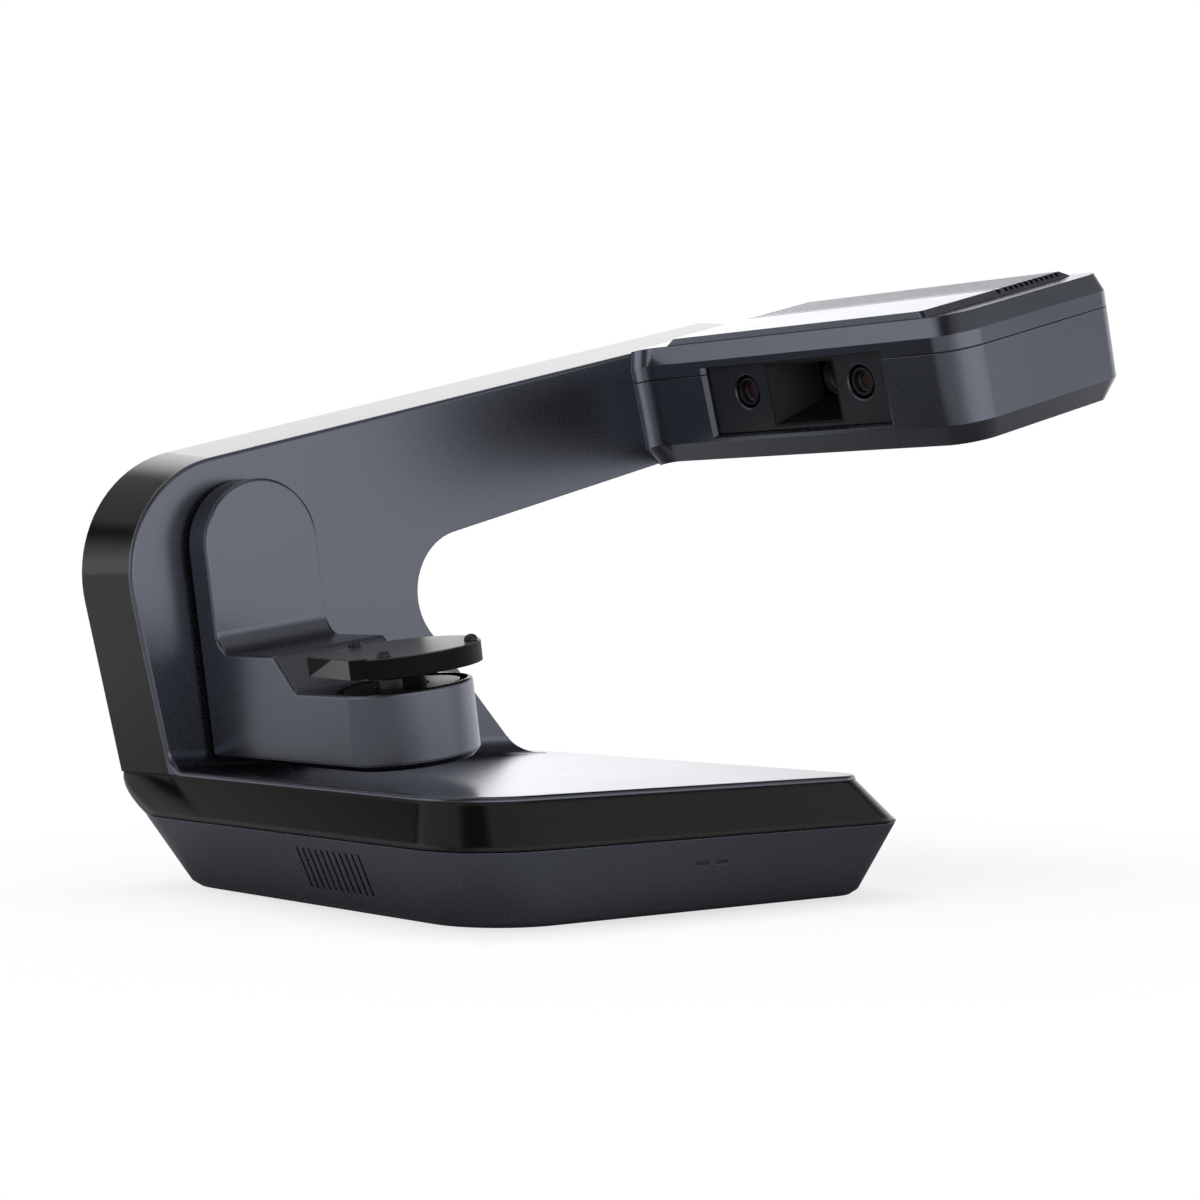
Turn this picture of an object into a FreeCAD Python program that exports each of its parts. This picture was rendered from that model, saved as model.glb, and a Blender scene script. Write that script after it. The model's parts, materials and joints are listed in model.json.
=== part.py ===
import FreeCAD, Part
import Sketcher
import math
import os

from FreeCAD import Placement, Rotation, Vector

# Desktop structured-light scanner. Lengths in millimetres, +Z up, +X towards the
# optical head, -Y towards the user. Every piece is drawn in one of three frames:
#   base   centre of the base's plan, on the desk
#   head   lower left edge of the optical head, x along the raised arm, z across it
#   swing  tilting axle of the swing arm, x to the right, z up along the arm

doc = FreeCAD.newDocument("desktop_scanner")

# name, value, meaning
SIZES = [
    ("shift_left", 79.56, "base centre to the middle of the whole outline, along X"),
    ("shift_back", 4.2, "base centre to the middle of the whole outline, along Y"),
    ("wall", 2.5, "general shell thickness"),
    ("gap", 0.6, "visible joint between shells"),
    # base
    ("foot_height", 2.0, "rubber feet"),
    ("foot_radius", 9.0, "rubber feet"),
    ("foot_reach_x", 77.0, "feet from the centre line"),
    ("foot_reach_y", 93.0, "feet from the base centre"),
    ("hatch_half", 66.0, "opening in the tub's floor, half width"),
    ("hatch_reach", 80.0, "opening in the tub's floor, half length"),
    ("plate_margin", 8.0, "bottom plate overlaps the opening"),
    ("tub_low_half", 104.0, "left side of the tub's underside"),
    ("tub_low_right", 117.3, "right side of the tub's underside"),
    ("tub_low_front", 125.0, "underside's front edge"),
    ("tub_low_back", 123.4, "underside's back edge"),
    ("seam_height", 34.2, "widest line of the base"),
    ("seam_half", 118.9, "left side at the widest line"),
    ("seam_right", 133.3, "right side at the widest line"),
    ("seam_front", 134.7, "front edge at the widest line"),
    ("seam_back", 143.0, "back edge at the widest line"),
    ("rim_height", 53.0, "top of the gloss band"),
    ("rim_half", 112.3, "left side at the rim"),
    ("rim_right", 116.6, "right side at the rim"),
    ("rim_front", 123.4, "front edge at the rim"),
    ("deck_height", 55.2, "top of the deck"),
    ("edge_round", 1.9, "rounded lip of the grey shells"),
    ("throat_round", 0.4, "rounded inner edge of the arm and column"),
    ("front_corner", 36.0, "large front left corner"),
    ("right_corner", 24.0, "front right corner"),
    ("corner_shrink", 4.0, "front corners are smaller at the rim"),
    ("rim_back_corner", 12.0, "back right corner at the rim"),
    ("column_corner", 2.5, "back left corner at the rim, under the column"),
    ("corner_power", 1.84, "how fast the gloss band's back left corner opens out below the rim"),
    ("back_corner", 40.0, "back corners at the widest line"),
    ("plate_thick", 2.0, "steel bottom plate"),
    # column and arm, seen from the front
    ("panel_front", 102.8, "front face of the column"),
    ("panel_thick", 2.2, "front and rear panels of the column"),
    ("parting", 122.2, "front and rear column shells meet"),
    ("column_back", 141.2, "rear face of the column"),
    ("column_foot_x", -112.3, "outer foot of the column"),
    ("cove_radius", 9.0, "hollow rounding between the column's front and the deck"),
    ("corner_x", -144.1, "sharp point of the outer corner"),
    ("corner_z", 186.6, "sharp point of the outer corner"),
    ("corner_radius", 55.0, "outer corner"),
    ("arm_top_x", 262.0, "upper end of the arm"),
    ("arm_top_z", 286.8, "upper end of the arm"),
    ("arm_low_x", 276.0, "lower end of the arm"),
    ("arm_low_z", 231.2, "lower end of the arm"),
    ("arm_end_radius", 12.0, "end of the arm"),
    ("throat_x", 2.84, "sharp point of the throat"),
    ("throat_z", 154.1, "sharp point of the throat"),
    ("throat_radius", 30.5, "throat"),
    ("ramp_x", 91.0, "ramp meets the deck"),
    ("ramp_radius", 20.0, "ramp runs out into the deck"),
    ("ramp_end", 103.0, "end of the ramp's foot"),
    ("ramp_lip", 0.5, "height of the ramp's foot"),
    ("band_flare", 4.0, "the gloss band widens towards the back"),
    ("band_thick", 2.2, "gloss band"),
    ("rear_vent_left", -104.0, "vent slots of the rear panel"),
    ("rear_vent_low", 84.0, "vent slots of the rear panel"),
    ("rear_vent_slot", 2.4, "width of a rear vent slot"),
    ("rear_vent_tall", 26.0, "height of a rear vent slot"),
    ("rear_vent_pitch", 5.0, "rear vent slots"),
    ("spine_front", 114.0, "steel spine"),
    ("spine_thick", 3.0, "steel spine"),
    # swing arm
    ("axle_x", -73.7, "tilting axle"),
    ("axle_z", 159.3, "tilting axle"),
    ("rest_tilt", 8.3, "tilt of the swing arm at rest, degrees"),
    ("arch_radius", 30.8, "round top of the swing arm"),
    ("plate_rear", 98.8, "rear face of the swing arm"),
    ("plate_front", 84.9, "front face of the upright"),
    ("ledge_low", -46.6, "ledge behind the turntable"),
    ("ledge_front", 39.7, "front of the ledge"),
    ("step_front", 24.8, "foot of the sloping step"),
    ("step_bend", 4.0, "rounded top and foot of the sloping step"),
    ("rim_low", -62.8, "rim of the turntable cup"),
    ("cup_low", -93.7, "underside of the cup"),
    ("cup_radius", 31.1, "round front of the cup"),
    ("table_y", -13.5, "turntable axis"),
    ("tray_low", -66.3, "floor of the tray round the turntable"),
    ("swing_round", 1.7, "rounded upper edges of the swing arm"),
    ("tray_wall", 2.0, "wall of the tray and of the room under it"),
    ("tray_disc", 25.5, "flat disc on the tray's floor"),
    ("tray_disc_bore", 12.0, "hole of the disc, round the platter's hub"),
    ("tray_disc_thick", 2.9, "flat disc"),
    ("tray_thick", 2.2, "floor of the tray"),
    ("cover_thick", 3.0, "bottom cover of the swing arm"),
    ("cover_inset", 0.3, "bottom cover stays inside the arm's outline"),
    ("bearing_long", 5.0, "bearing rings along their axis"),
    ("bearing_radius", 11.0, "bearing rings of the tilting axle"),
    ("table_bearing", 9.0, "bearing rings of the turntable shaft"),
    ("bracket_front", 128.0, "plate that holds the rear bearing"),
    ("axle_back", 134.0, "rear end of the tilting axle"),
    ("axle_radius", 6.0, "tilting axle"),
    ("run_gap", 0.05, "running clearance of shafts"),
    # turntable
    ("platter_top", -47.1, "top of the platter"),
    ("platter_thick", 9.0, "platter"),
    ("platter_radius", 36.4, "platter"),
    ("pin_circle", 32.8, "locating pins from the axis"),
    ("pin_radius", 3.0, "locating pins"),
    ("pin_height", 1.2, "locating pins below their domes"),
    ("pin_dome", 2.0, "height of the pins' domes"),
    ("table_shaft", 4.0, "turntable shaft radius"),
    ("table_pulley", 20.0, "turntable pulley radius"),
    ("table_pinion", 6.0, "turntable motor pulley radius"),
    ("table_stub", 1.5, "turntable motor's shaft radius"),
    ("table_motor_y", 26.0, "turntable motor axis"),
    ("table_belt_low", -77.0, "turntable belt's lower edge"),
    # circuit boards
    ("standoff_tall", 7.0, "board standoffs"),
    ("standoff_radius", 2.4, "board standoffs"),
    ("board_thick", 1.6, "circuit boards"),
    # tilting drive
    ("tilt_pulley", 24.0, "tilting pulley radius"),
    ("tilt_pinion", 7.0, "tilting motor pulley radius"),
    ("tilt_motor_x", -20.0, "tilting motor axis"),
    ("tilt_motor_z", 148.0, "tilting motor axis"),
    ("tilt_motor_size", 42.0, "tilting motor"),
    ("tilt_stub", 2.5, "tilting motor's shaft radius"),
    ("flange", 1.2, "pulley flanges"),
    ("flange_rim", 1.3, "pulley flanges stand proud of the belt face"),
    ("belt_thick", 1.4, "belts"),
    ("belt_gap", 0.3, "belts run clear of the pulleys"),
    ("belt_front", 107.6, "tilting belt's front edge"),
    ("belt_width", 4.0, "belts"),
    # head
    ("head_x", 186.0, "lower left edge of the head"),
    ("head_z", 205.8, "lower left edge of the head"),
    ("head_rise", 15.0, "tilt of the head, degrees"),
    ("head_front", 121.6, "front face of the head"),
    ("head_length", 116.3, "head along the arm above its lower bevel"),
    ("head_low", -1.0, "underside of the head"),
    ("head_bevel", 9.5, "height of the lower bevel"),
    ("head_seam", 44.5, "upper and lower head shells meet"),
    ("head_shoulder", 52.1, "foot of the light upper strip"),
    ("head_top", 61.2, "top of the upper shell"),
    ("end_low", 7.5, "the left end leans in at its lower bevel"),
    ("end_high", 3.0, "the left end leans in at its top"),
    ("cover_top", 64.6, "top of the raised vent cover"),
    ("head_corner", 17.0, "large front left corner of the head"),
    ("head_right_corner", 13.0, "front right corner of the head"),
    ("head_flare", 7.5, "hollow rounding between the head's left end and the arm"),
    ("flare_tip", 0.5, "edge of the hollow rounding"),
    ("window_left", 55.4, "camera window's left end"),
    ("window_right", -71.5, "camera window's right end"),
    ("window_low", 12.5, "camera window's lower edge"),
    ("window_high", 48.5, "camera window's upper edge"),
    ("optic_y", -10.8, "projector axis"),
    ("optic_w", 33.5, "height of the camera axes"),
    ("optic_half", 40.4, "cameras from the projector axis"),
    ("eye_radius", 8.6, "round camera openings"),
    ("barrel_radius", 7.2, "camera lens barrels"),
    ("lens_radius", 5.6, "camera lenses"),
    ("projector_radius", 9.2, "projector's barrel"),
    ("projector_bore", 7.6, "projector's lens"),
    ("bezel_slack", 0.3, "bezel in the window"),
    ("frame_edge", 2.0, "frame behind the wall round the window"),
    ("sill_left", 2.0, "bevelled edge at the window's left end"),
    ("sill_low", 1.0, "bevelled edge below the window"),
    ("sill_deep", 2.0, "depth of the window's bevelled edges"),
    ("bezel_front", 4.0, "front of the bezel behind the head's end"),
    ("bezel_back", 6.5, "back of the bezel behind the head's end"),
    ("hood_half", 24.6, "projector hood's mouth, half width"),
    ("hood_foot", 1.8, "hood's mouth above the bezel's lower edge"),
    ("hood_brow", 1.5, "hood's mouth below the bezel's upper edge"),
    ("hood_end", 11.0, "small end of the hood, half width"),
    ("hood_back", 28.0, "depth of the hood"),
    ("hood_wall", 1.2, "wall of the hood"),
    ("bolt_radius", 2.5, "bolts that hold the head"),
    ("bolt_bore", 2.7, "clearance holes of the head's bolts"),
    ("bolt_cap", 4.5, "heads and nuts of the head's bolts"),
    ("bolt_cap_tall", 4.0, "heads and nuts of the head's bolts"),
    ("slot_pitch", 3.85, "vent slots of the head"),
    ("slot_wide", 1.9, "vent slots of the head"),
    ("fin_pitch", 5.2, "fins of the heat sink"),
    # fans and rear fittings
    ("fan_size", 40.0, "fan frame"),
    ("fan_thick", 10.0, "fan frame"),
    ("fan_bore", 18.6, "fan tunnel radius"),
    ("fan_blade", 17.6, "fan rotor radius"),
    ("fan_hub", 8.0, "fan hub radius"),
    ("fan_pin", 1.5, "fan axle radius"),
    ("fan_left", -100.0, "outer face of the fan"),
    ("fan_y", -31.6, "fan axis, in line with the vent slots"),
    ("fan_z", 27.6, "fan axis"),
    ("port_face", 122.0, "recessed face of the port panel"),
    ("port_low", 9.0, "port recess, lower edge"),
    ("port_high", 31.0, "port recess, upper edge"),
    ("port_left", 3.0, "port recess, left end"),
    ("port_right", 65.0, "port recess, right end"),
    ("inlet_x", 12.5, "power inlet"),
    ("usb_x", 31.5, "data port"),
    ("switch_x", 52.0, "rocker switch"),
    ("port_z", 20.0, "height of the ports"),
    ("rocker_throw", 16.0, "rocker switch travel, degrees"),
    ("rocker_pivot", 3.0, "rocker's pivot behind the port panel's face"),
    ("rocker_pin", 1.2, "rocker's pivot pin radius"),
]

sheet = doc.addObject("Spreadsheet::Sheet", "dimensions")
for row, (name, value, meaning) in enumerate(SIZES, 1):
    sheet.set(f"A{row}", name)
    sheet.set(f"B{row}", str(value))
    sheet.set(f"C{row}", meaning)
    sheet.setAlias(f"B{row}", name)
doc.recompute()


def formula(value):
    """Spreadsheet formula of a size, or the plain number."""
    return value.text if isinstance(value, Size) else repr(float(value))


class Size(float):
    """A number that remembers the spreadsheet formula it came from."""

    def __new__(cls, value, text):
        size = float.__new__(cls, value)
        size.text = text
        return size

    def __add__(self, other):
        return Size(float(self) + float(other), f"({self.text} + {formula(other)})")

    def __radd__(self, other):
        return Size(float(other) + float(self), f"({formula(other)} + {self.text})")

    def __sub__(self, other):
        return Size(float(self) - float(other), f"({self.text} - {formula(other)})")

    def __rsub__(self, other):
        return Size(float(other) - float(self), f"({formula(other)} - {self.text})")

    def __mul__(self, other):
        return Size(float(self) * float(other), f"({self.text} * {formula(other)})")

    def __rmul__(self, other):
        return Size(float(other) * float(self), f"({formula(other)} * {self.text})")

    def __truediv__(self, other):
        return Size(float(self) / float(other), f"({self.text} / {formula(other)})")

    def __neg__(self):
        return Size(-float(self), f"(-1 * {self.text})")


def size(name):
    """One named cell of the spreadsheet."""
    return Size(sheet.get(name), "dimensions." + name)


def bind(thing, path, value):
    """Sets a property and ties it to the spreadsheet where the size comes from it."""
    if isinstance(value, Size):
        thing.setExpression(path, value.text)


# ---------------------------------------------------------------- frames

WALL = size("wall")
GAP = size("gap")
RUN = size("run_gap")
BASE = Placement(Vector(-size("shift_left"), -size("shift_back"), 0), Rotation())
HEAD = BASE * Placement(
    Vector(size("head_x"), 0, size("head_z")), Rotation(Vector(0, 1, 0), -size("head_rise"))
)
SWING = BASE * Placement(
    Vector(size("axle_x"), 0, size("axle_z")), Rotation(Vector(0, 1, 0), -size("rest_tilt"))
)
NODES = []


def finish(thing, label, frame):
    """Names a sub-part, puts it in its frame and lists it for export."""
    thing.Label = label
    thing.Placement = frame
    NODES.append(thing)
    return thing


# ---------------------------------------------------------------- sketches and bodies

NORMAL_SIGN = {"XY": 1, "XZ": -1, "YZ": 1}


def rect(x0, y0, x1, y1):
    return [(x0, y0), (x1, y0), (x1, y1), (x0, y1)]


def circle(x, y, radius):
    return ("circle", x, y, radius)


def hold(sketch, geometry, point, x, y):
    """Ties a point to the sketch's origin by two distances."""
    for kind, value in (("DistanceX", x), ("DistanceY", y)):
        index = sketch.addConstraint(
            Sketcher.Constraint(kind, -1, 1, geometry, point, float(value))
        )
        bind(sketch, f"Constraints[{index}]", value)


def draw(sketch, shape):
    """Draws a circle or a closed outline of straight lines."""
    first = sketch.GeometryCount
    if shape[0] == "circle":
        _, x, y, radius = shape
        sketch.addGeometry(Part.Circle(Vector(x, y, 0), Vector(0, 0, 1), float(radius)))
        hold(sketch, first, 3, x, y)
        index = sketch.addConstraint(Sketcher.Constraint("Radius", first, float(radius)))
        bind(sketch, f"Constraints[{index}]", radius)
        return
    count = len(shape)
    for i in range(count):
        start = Vector(*map(float, shape[i]), 0)
        end = Vector(*map(float, shape[(i + 1) % count]), 0)
        sketch.addGeometry(Part.LineSegment(start, end))
    for i in range(count):
        following = first + (i + 1) % count
        sketch.addConstraint(Sketcher.Constraint("Coincident", first + i, 2, following, 1))
        hold(sketch, first + i, 1, *shape[i])


def edge_at(x=None, y=None, z=None, along=None):
    """Picks the edges that lie on the given coordinates, straight along one axis if told."""

    def picks(edge):
        points = [v.Point for v in edge.Vertexes]
        points.append(edge.valueAt((edge.FirstParameter + edge.LastParameter) / 2))
        for wanted, index in ((x, 0), (y, 1), (z, 2)):
            if wanted is not None and any(abs(p[index] - wanted) > 0.02 for p in points):
                return False
        if along is None:
            return True
        spans = [max(p[i] for p in points) - min(p[i] for p in points) for i in range(3)]
        return spans[along] > 0.1 and sum(spans) - spans[along] < 0.02

    return picks


class Body:
    """A PartDesign body built feature by feature."""

    def __init__(self, label, frame):
        self.body = doc.addObject("PartDesign::Body", label)
        self.label = label
        self.steps = 0
        finish(self.body, label, frame)

    def _name(self, kind):
        self.steps += 1
        return f"{self.label}_{kind}_{self.steps}"

    def _sketch(self, plane, shapes, level):
        role = plane + "_Plane"
        support = [f for f in self.body.Origin.OriginFeatures if f.Role == role][0]
        sketch = self.body.newObject("Sketcher::SketchObject", self._name("sketch"))
        sketch.AttachmentSupport = [(support, "")]
        sketch.MapMode = "FlatFace"
        offset = level * NORMAL_SIGN[plane]
        sketch.AttachmentOffset = Placement(Vector(0, 0, float(offset)), Rotation())
        bind(sketch, "AttachmentOffset.Base.z", offset)
        for shape in shapes:
            draw(sketch, shape)
        return sketch

    def pad(self, plane, shapes, low, high):
        """Adds material between two levels across the plane."""
        start = high if plane == "XZ" else low
        feature = self.body.newObject("PartDesign::Pad", self._name("pad"))
        feature.Profile = self._sketch(plane, shapes, start)
        feature.Length = float(high - low)
        bind(feature, "Length", high - low)
        self.body.Tip = feature
        return self

    def pocket(self, plane, shapes, low, high):
        """Cuts away material between two levels across the plane."""
        doc.recompute()
        before = self.body.Shape.Volume
        start = low if plane == "XZ" else high
        feature = self.body.newObject("PartDesign::Pocket", self._name("pocket"))
        feature.Profile = self._sketch(plane, shapes, start)
        feature.Length = float(high - low)
        bind(feature, "Length", high - low)
        self.body.Tip = feature
        doc.recompute()
        if self.body.Shape.Volume > before - 0.01:
            raise RuntimeError(f"{feature.Name} cuts nothing")
        return self

    def _dress(self, kind, path, amount, pickers):
        doc.recompute()
        tip = self.body.Tip
        edges = enumerate(tip.Shape.Edges, 1)
        names = [f"Edge{i}" for i, edge in edges if any(pick(edge) for pick in pickers)]
        feature = self.body.newObject("PartDesign::" + kind, self._name(kind.lower()))
        feature.Base = (tip, names)
        setattr(feature, path, float(amount))
        bind(feature, path, amount)
        self.body.Tip = feature
        return self

    def fillet(self, radius, *pickers):
        return self._dress("Fillet", "Radius", radius, pickers)

    def chamfer(self, width, *pickers):
        return self._dress("Chamfer", "Size", width, pickers)

    def repeat(self, count, pitch):
        """Repeats the last feature in a row along the sketch's horizontal axis."""
        original = self.body.Tip
        feature = self.body.newObject("PartDesign::LinearPattern", self._name("row"))
        feature.Originals = [original]
        feature.Direction = (original.Profile[0], ["H_Axis"])
        feature.Length = float(pitch * (count - 1))
        bind(feature, "Length", pitch * (count - 1))
        feature.Occurrences = count
        self.body.Tip = feature
        return self


# ---------------------------------------------------------------- Part primitives

AXIS_TURN = {
    "X": Rotation(Vector(0, 1, 0), 90),
    "Y": Rotation(Vector(1, 0, 0), -90),
    "Z": Rotation(),
}


def place(thing, values):
    thing.Placement.Base = Vector(*map(float, values))
    for letter, value in zip("xyz", values):
        bind(thing, "Placement.Base." + letter, value)


def rod(name, axis, centre, radius, low, high):
    """Round bar along an axis; centre holds the two other coordinates in order."""
    bar = doc.addObject("Part::Cylinder", name)
    bar.Radius = float(radius)
    bar.Height = float(high - low)
    bind(bar, "Radius", radius)
    bind(bar, "Height", high - low)
    spot = list(centre)
    spot.insert("XYZ".index(axis), low)
    bar.Placement = Placement(Vector(*map(float, spot)), AXIS_TURN[axis])
    place(bar, spot)
    return bar


def minus(name, base, tool):
    cut = doc.addObject("Part::Cut", name)
    cut.Base = base
    cut.Tool = tool
    return cut


def joined(name, pieces):
    fuse = doc.addObject("Part::MultiFuse", name)
    fuse.Shapes = pieces
    return fuse


def group(label, pieces, frame):
    """Several separate solids in one node."""
    compound = doc.addObject("Part::Compound", label)
    compound.Links = pieces
    return finish(compound, label, frame)


def ring(name, axis, centre, outer, inner, low, high):
    return minus(
        name,
        rod(name + "_outside", axis, centre, outer, low, high),
        rod(name + "_bore", axis, centre, inner, low, high),
    )


def feature(label, shape, frame):
    """A shape made with Part's own functions, for lofted and flared shells."""
    thing = doc.addObject("Part::Feature", label)
    thing.Shape = shape
    return finish(thing, label, frame * shape.Placement)


# ---------------------------------------------------------------- lofted shells


def lift(plane, level):
    """Maps a drawing of the XY or XZ plane to space."""
    if plane == "XY":
        return lambda x, y: Vector(x, y, level)
    return lambda x, z: Vector(x, level, z)


def rounded_wire(points, radii, plane, level):
    """Closed outline with rounded corners; a zero radius keeps a corner sharp."""
    to_space = lift(plane, level)
    count = len(points)
    corners = []
    for i, (x, y) in enumerate(points):
        here = Vector(x, y, 0)
        before = (Vector(*points[i - 1], 0) - here).normalize()
        after = (Vector(*points[(i + 1) % count], 0) - here).normalize()
        if radii[i] == 0:
            corners.append((here, None, here))
            continue
        half = before.getAngle(after) / 2
        reach = radii[i] / math.tan(half)
        inward = (before + after).normalize()
        middle = here + inward * (radii[i] / math.sin(half) - radii[i])
        corners.append((here + before * reach, middle, here + after * reach))
    edges = []
    for i, (start, middle, end) in enumerate(corners):
        if middle is not None:
            arc = Part.Arc(to_space(start.x, start.y), to_space(middle.x, middle.y), to_space(end.x, end.y))
            edges.append(arc.toShape())
        following = corners[(i + 1) % count][0]
        edges.append(Part.LineSegment(to_space(end.x, end.y), to_space(following.x, following.y)).toShape())
    return Part.Wire(edges)


def grown(points, distances):
    """Moves each side of a clockwise or anticlockwise outline outwards by its own distance."""
    count = len(points)
    area = sum(
        points[i][0] * points[(i + 1) % count][1] - points[(i + 1) % count][0] * points[i][1]
        for i in range(count)
    )
    turn = 1 if area > 0 else -1
    lines = []
    for i in range(count):
        start = Vector(*points[i], 0)
        run = (Vector(*points[(i + 1) % count], 0) - start).normalize()
        outward = Vector(run.y * turn, -run.x * turn, 0)
        lines.append((start + outward * distances[i], run))
    result = []
    for i in range(count):
        (a, da), (b, db) = lines[i - 1], lines[i]
        cross = da.x * db.y - da.y * db.x
        if abs(cross) < 1e-6:
            result.append((b.x, b.y))
            continue
        step = ((b.x - a.x) * db.y - (b.y - a.y) * db.x) / cross
        result.append((a.x + da.x * step, a.y + da.y * step))
    return result


def ruled(wires):
    return Part.makeLoft(wires, True, True)


def prism(wire, direction):
    return Part.Face(wire).extrude(direction)


def slab(x0, x1, y0, y1, z0, z1):
    return Part.makeBox(x1 - x0, y1 - y0, z1 - z0, Vector(x0, y0, z0))


def value(name):
    return float(size(name))


# ---------------------------------------------------------------- base shells

COLUMN_BACK = value("column_back")
PANEL_FRONT = value("panel_front")
SEAM = value("seam_height")
FOOT = value("foot_height")
RIM = value("rim_height")
SKIN = float(WALL)


def tub_outline(height, inset):
    """Corners and radii of the tapering tub at one height, moved inwards by the inset."""
    part = (height - FOOT) / (SEAM - FOOT)

    def between(low, high):
        return value(low) + part * (value(high) - value(low))

    left = between("tub_low_half", "seam_half") - inset
    right = between("tub_low_right", "seam_right") - inset
    front = between("tub_low_front", "seam_front") - inset
    back = between("tub_low_back", "seam_back") - inset
    radii = [value("front_corner"), value("right_corner"), 0, value("back_corner"), value("back_corner"), 0]
    radii = [max(r - inset, 1.0) if r else 0 for r in radii]
    points = [(-left, -front), (right, -front), (right, 60), (right, back), (-left, back), (-left, 60)]
    return points, radii


def tub_section(height, inset):
    return rounded_wire(*tub_outline(height, inset), "XY", height)


def rim_outline(inset, spread=0.0):
    """Corners and radii of the deck's rim; the left side widens behind the column's front face."""
    left = value("rim_half") - inset
    right = value("rim_right") - inset
    front = value("rim_front") - inset
    back = COLUMN_BACK - inset
    wide = -value("column_foot_x") + spread - inset
    shrink = value("corner_shrink")
    radii = [
        value("front_corner") - shrink, value("right_corner") - shrink, 0,
        value("rim_back_corner"), value("column_corner"), 0,
    ]
    radii = [max(r - inset, 1.0) if r else 0 for r in radii]
    turn = PANEL_FRONT + value("panel_thick")
    points = [(-left, -front), (right, -front), (right, 60), (right, back), (-wide, back), (-left, turn)]
    return points, radii


def rim_section(height, inset, spread=0.0):
    return rounded_wire(*rim_outline(inset, spread), "XY", height)


def band_loft(inset):
    """Solid inside the gloss band, whose back left corner opens out in a curve towards the seam."""
    low = SEAM + float(GAP) / 2
    seam_points, seam_radii = tub_outline(low, inset)
    rim_points, rim_radii = rim_outline(inset, value("band_flare"))
    steps = 6
    wires = []
    for step in range(steps + 1):
        part = step / steps
        points = [(a + part * (c - a), b + part * (d - b)) for (a, b), (c, d) in zip(seam_points, rim_points)]
        radii = [a + part * (b - a) for a, b in zip(seam_radii, rim_radii)]
        opening = (1 - part) ** value("corner_power")
        radii[4] = rim_radii[4] + opening * (seam_radii[4] - rim_radii[4])
        wires.append(rounded_wire(points, radii, "XY", low + part * (RIM - low)))
    return ruled(wires)


def tub_solid(inset, low, high):
    return ruled([tub_section(low, inset), tub_section(high, inset)])


def vent_cutters():
    """Eleven upright slots through the sloping left wall."""
    count = 11
    front, back = -54.5, -8.7
    pitch = (back - front) / (count - 1)
    cutters = []
    for i in range(count):
        middle = front + i * pitch
        cutters.append(slab(-125, -100, middle - 0.75, middle + 0.75, 10.6, 28.4))
    return cutters


FOOT_SPOTS = [(x * size("foot_reach_x"), y * size("foot_reach_y")) for x in (-1, 1) for y in (-1, 1)]
SCREW_SPOTS = [(x * (size("hatch_half") + 4), y * 60.0) for x in (-1, 1) for y in (-1, 0, 1)]
LIGHT_SPANS = [(2.9, 9.6), (14.2, 20.9)]
LIGHT_LOW = 22.2
LIGHT_HIGH = 23.8


def base_tub():
    chamfer = 2.2
    foot = ruled([tub_section(FOOT, chamfer), tub_section(FOOT + chamfer, 0)])
    outside = foot.fuse(tub_solid(0, FOOT + chamfer, SEAM - GAP / 2)).removeSplitter()
    inside = tub_solid(SKIN, FOOT + SKIN, SEAM + 1)
    shell = outside.cut(inside)
    tongue = tub_solid(2.3, SEAM - 4, SEAM).cut(tub_solid(3.9, SEAM - 4, SEAM))
    shell = shell.fuse(tongue)
    tools = vent_cutters()
    hatch_x, hatch_y = value("hatch_half"), value("hatch_reach")
    tools.append(slab(-hatch_x, hatch_x, -hatch_y, hatch_y, 0, FOOT + SKIN + 1))
    for low, high in LIGHT_SPANS:
        tools.append(slab(low, high, -140, -110, LIGHT_LOW, LIGHT_HIGH))
    left, right = value("port_left") - 2, value("port_right") + 2
    tools.append(slab(left, right, 112, 150, value("port_low") - 2, value("port_high") + 2))
    for x, y in FOOT_SPOTS:
        tools.append(Part.makeCylinder(3.0, 8, Vector(x, y, 0)))
    for x, y in SCREW_SPOTS:
        tools.append(Part.makeCylinder(3.0, 8, Vector(x, y, 0)))
    feature("base_tub", shell.cut(tools), BASE)


def base_band():
    feature("base_band", band_loft(0).cut(band_loft(2.4)).removeSplitter(), BASE)


def deck_shell():
    top = value("deck_height")
    plate = prism(rim_section(RIM, 0), Vector(0, 0, top - RIM))
    front_edges = [
        e for e in plate.Edges
        if all(abs(v.Z - top) < 0.01 for v in e.Vertexes) and min(v.Y for v in e.Vertexes) < 100
    ]
    plate = plate.makeFillet(value("edge_round"), front_edges)
    opening = slab(-84, 4, 108, 137, RIM - 1, top + 1)
    cove_front = PANEL_FRONT - value("cove_radius")
    strip_back = PANEL_FRONT + value("panel_thick")
    cove_strip = slab(-130, value("ramp_end"), cove_front, strip_back, RIM - 1, top + 1)
    band_side = slab(-130, value("column_foot_x") + value("band_thick"), strip_back, 145, RIM - 1, top + 1)
    feature("deck_shell", plate.cut([opening, cove_strip, band_side, column_band_shape()]), BASE)


def port_panel():
    left, right = value("port_left"), value("port_right")
    low, high = value("port_low"), value("port_high")
    face = value("port_face")
    height = value("port_z")
    frame = slab(left - 2, right + 2, face - 2, 150, low - 2, high + 2)
    frame = frame.common(tub_solid(0.3, FOOT, SEAM - 0.3))
    frame = frame.cut(slab(left, right, face, 150, low, high))
    usb, switch = value("usb_x"), value("switch_x")
    holes = [
        Part.makeCylinder(5.6, 6, Vector(value("inlet_x"), face - 3, height), Vector(0, 1, 0)),
        slab(usb - 6.2, usb + 6.2, face - 3, face + 1, height - 5.8, height + 5.8),
        slab(switch - 9.6, switch + 9.6, face - 3, face + 1, height - 6.6, height + 6.6),
    ]
    feature("port_panel", frame.cut(holes), BASE)


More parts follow.
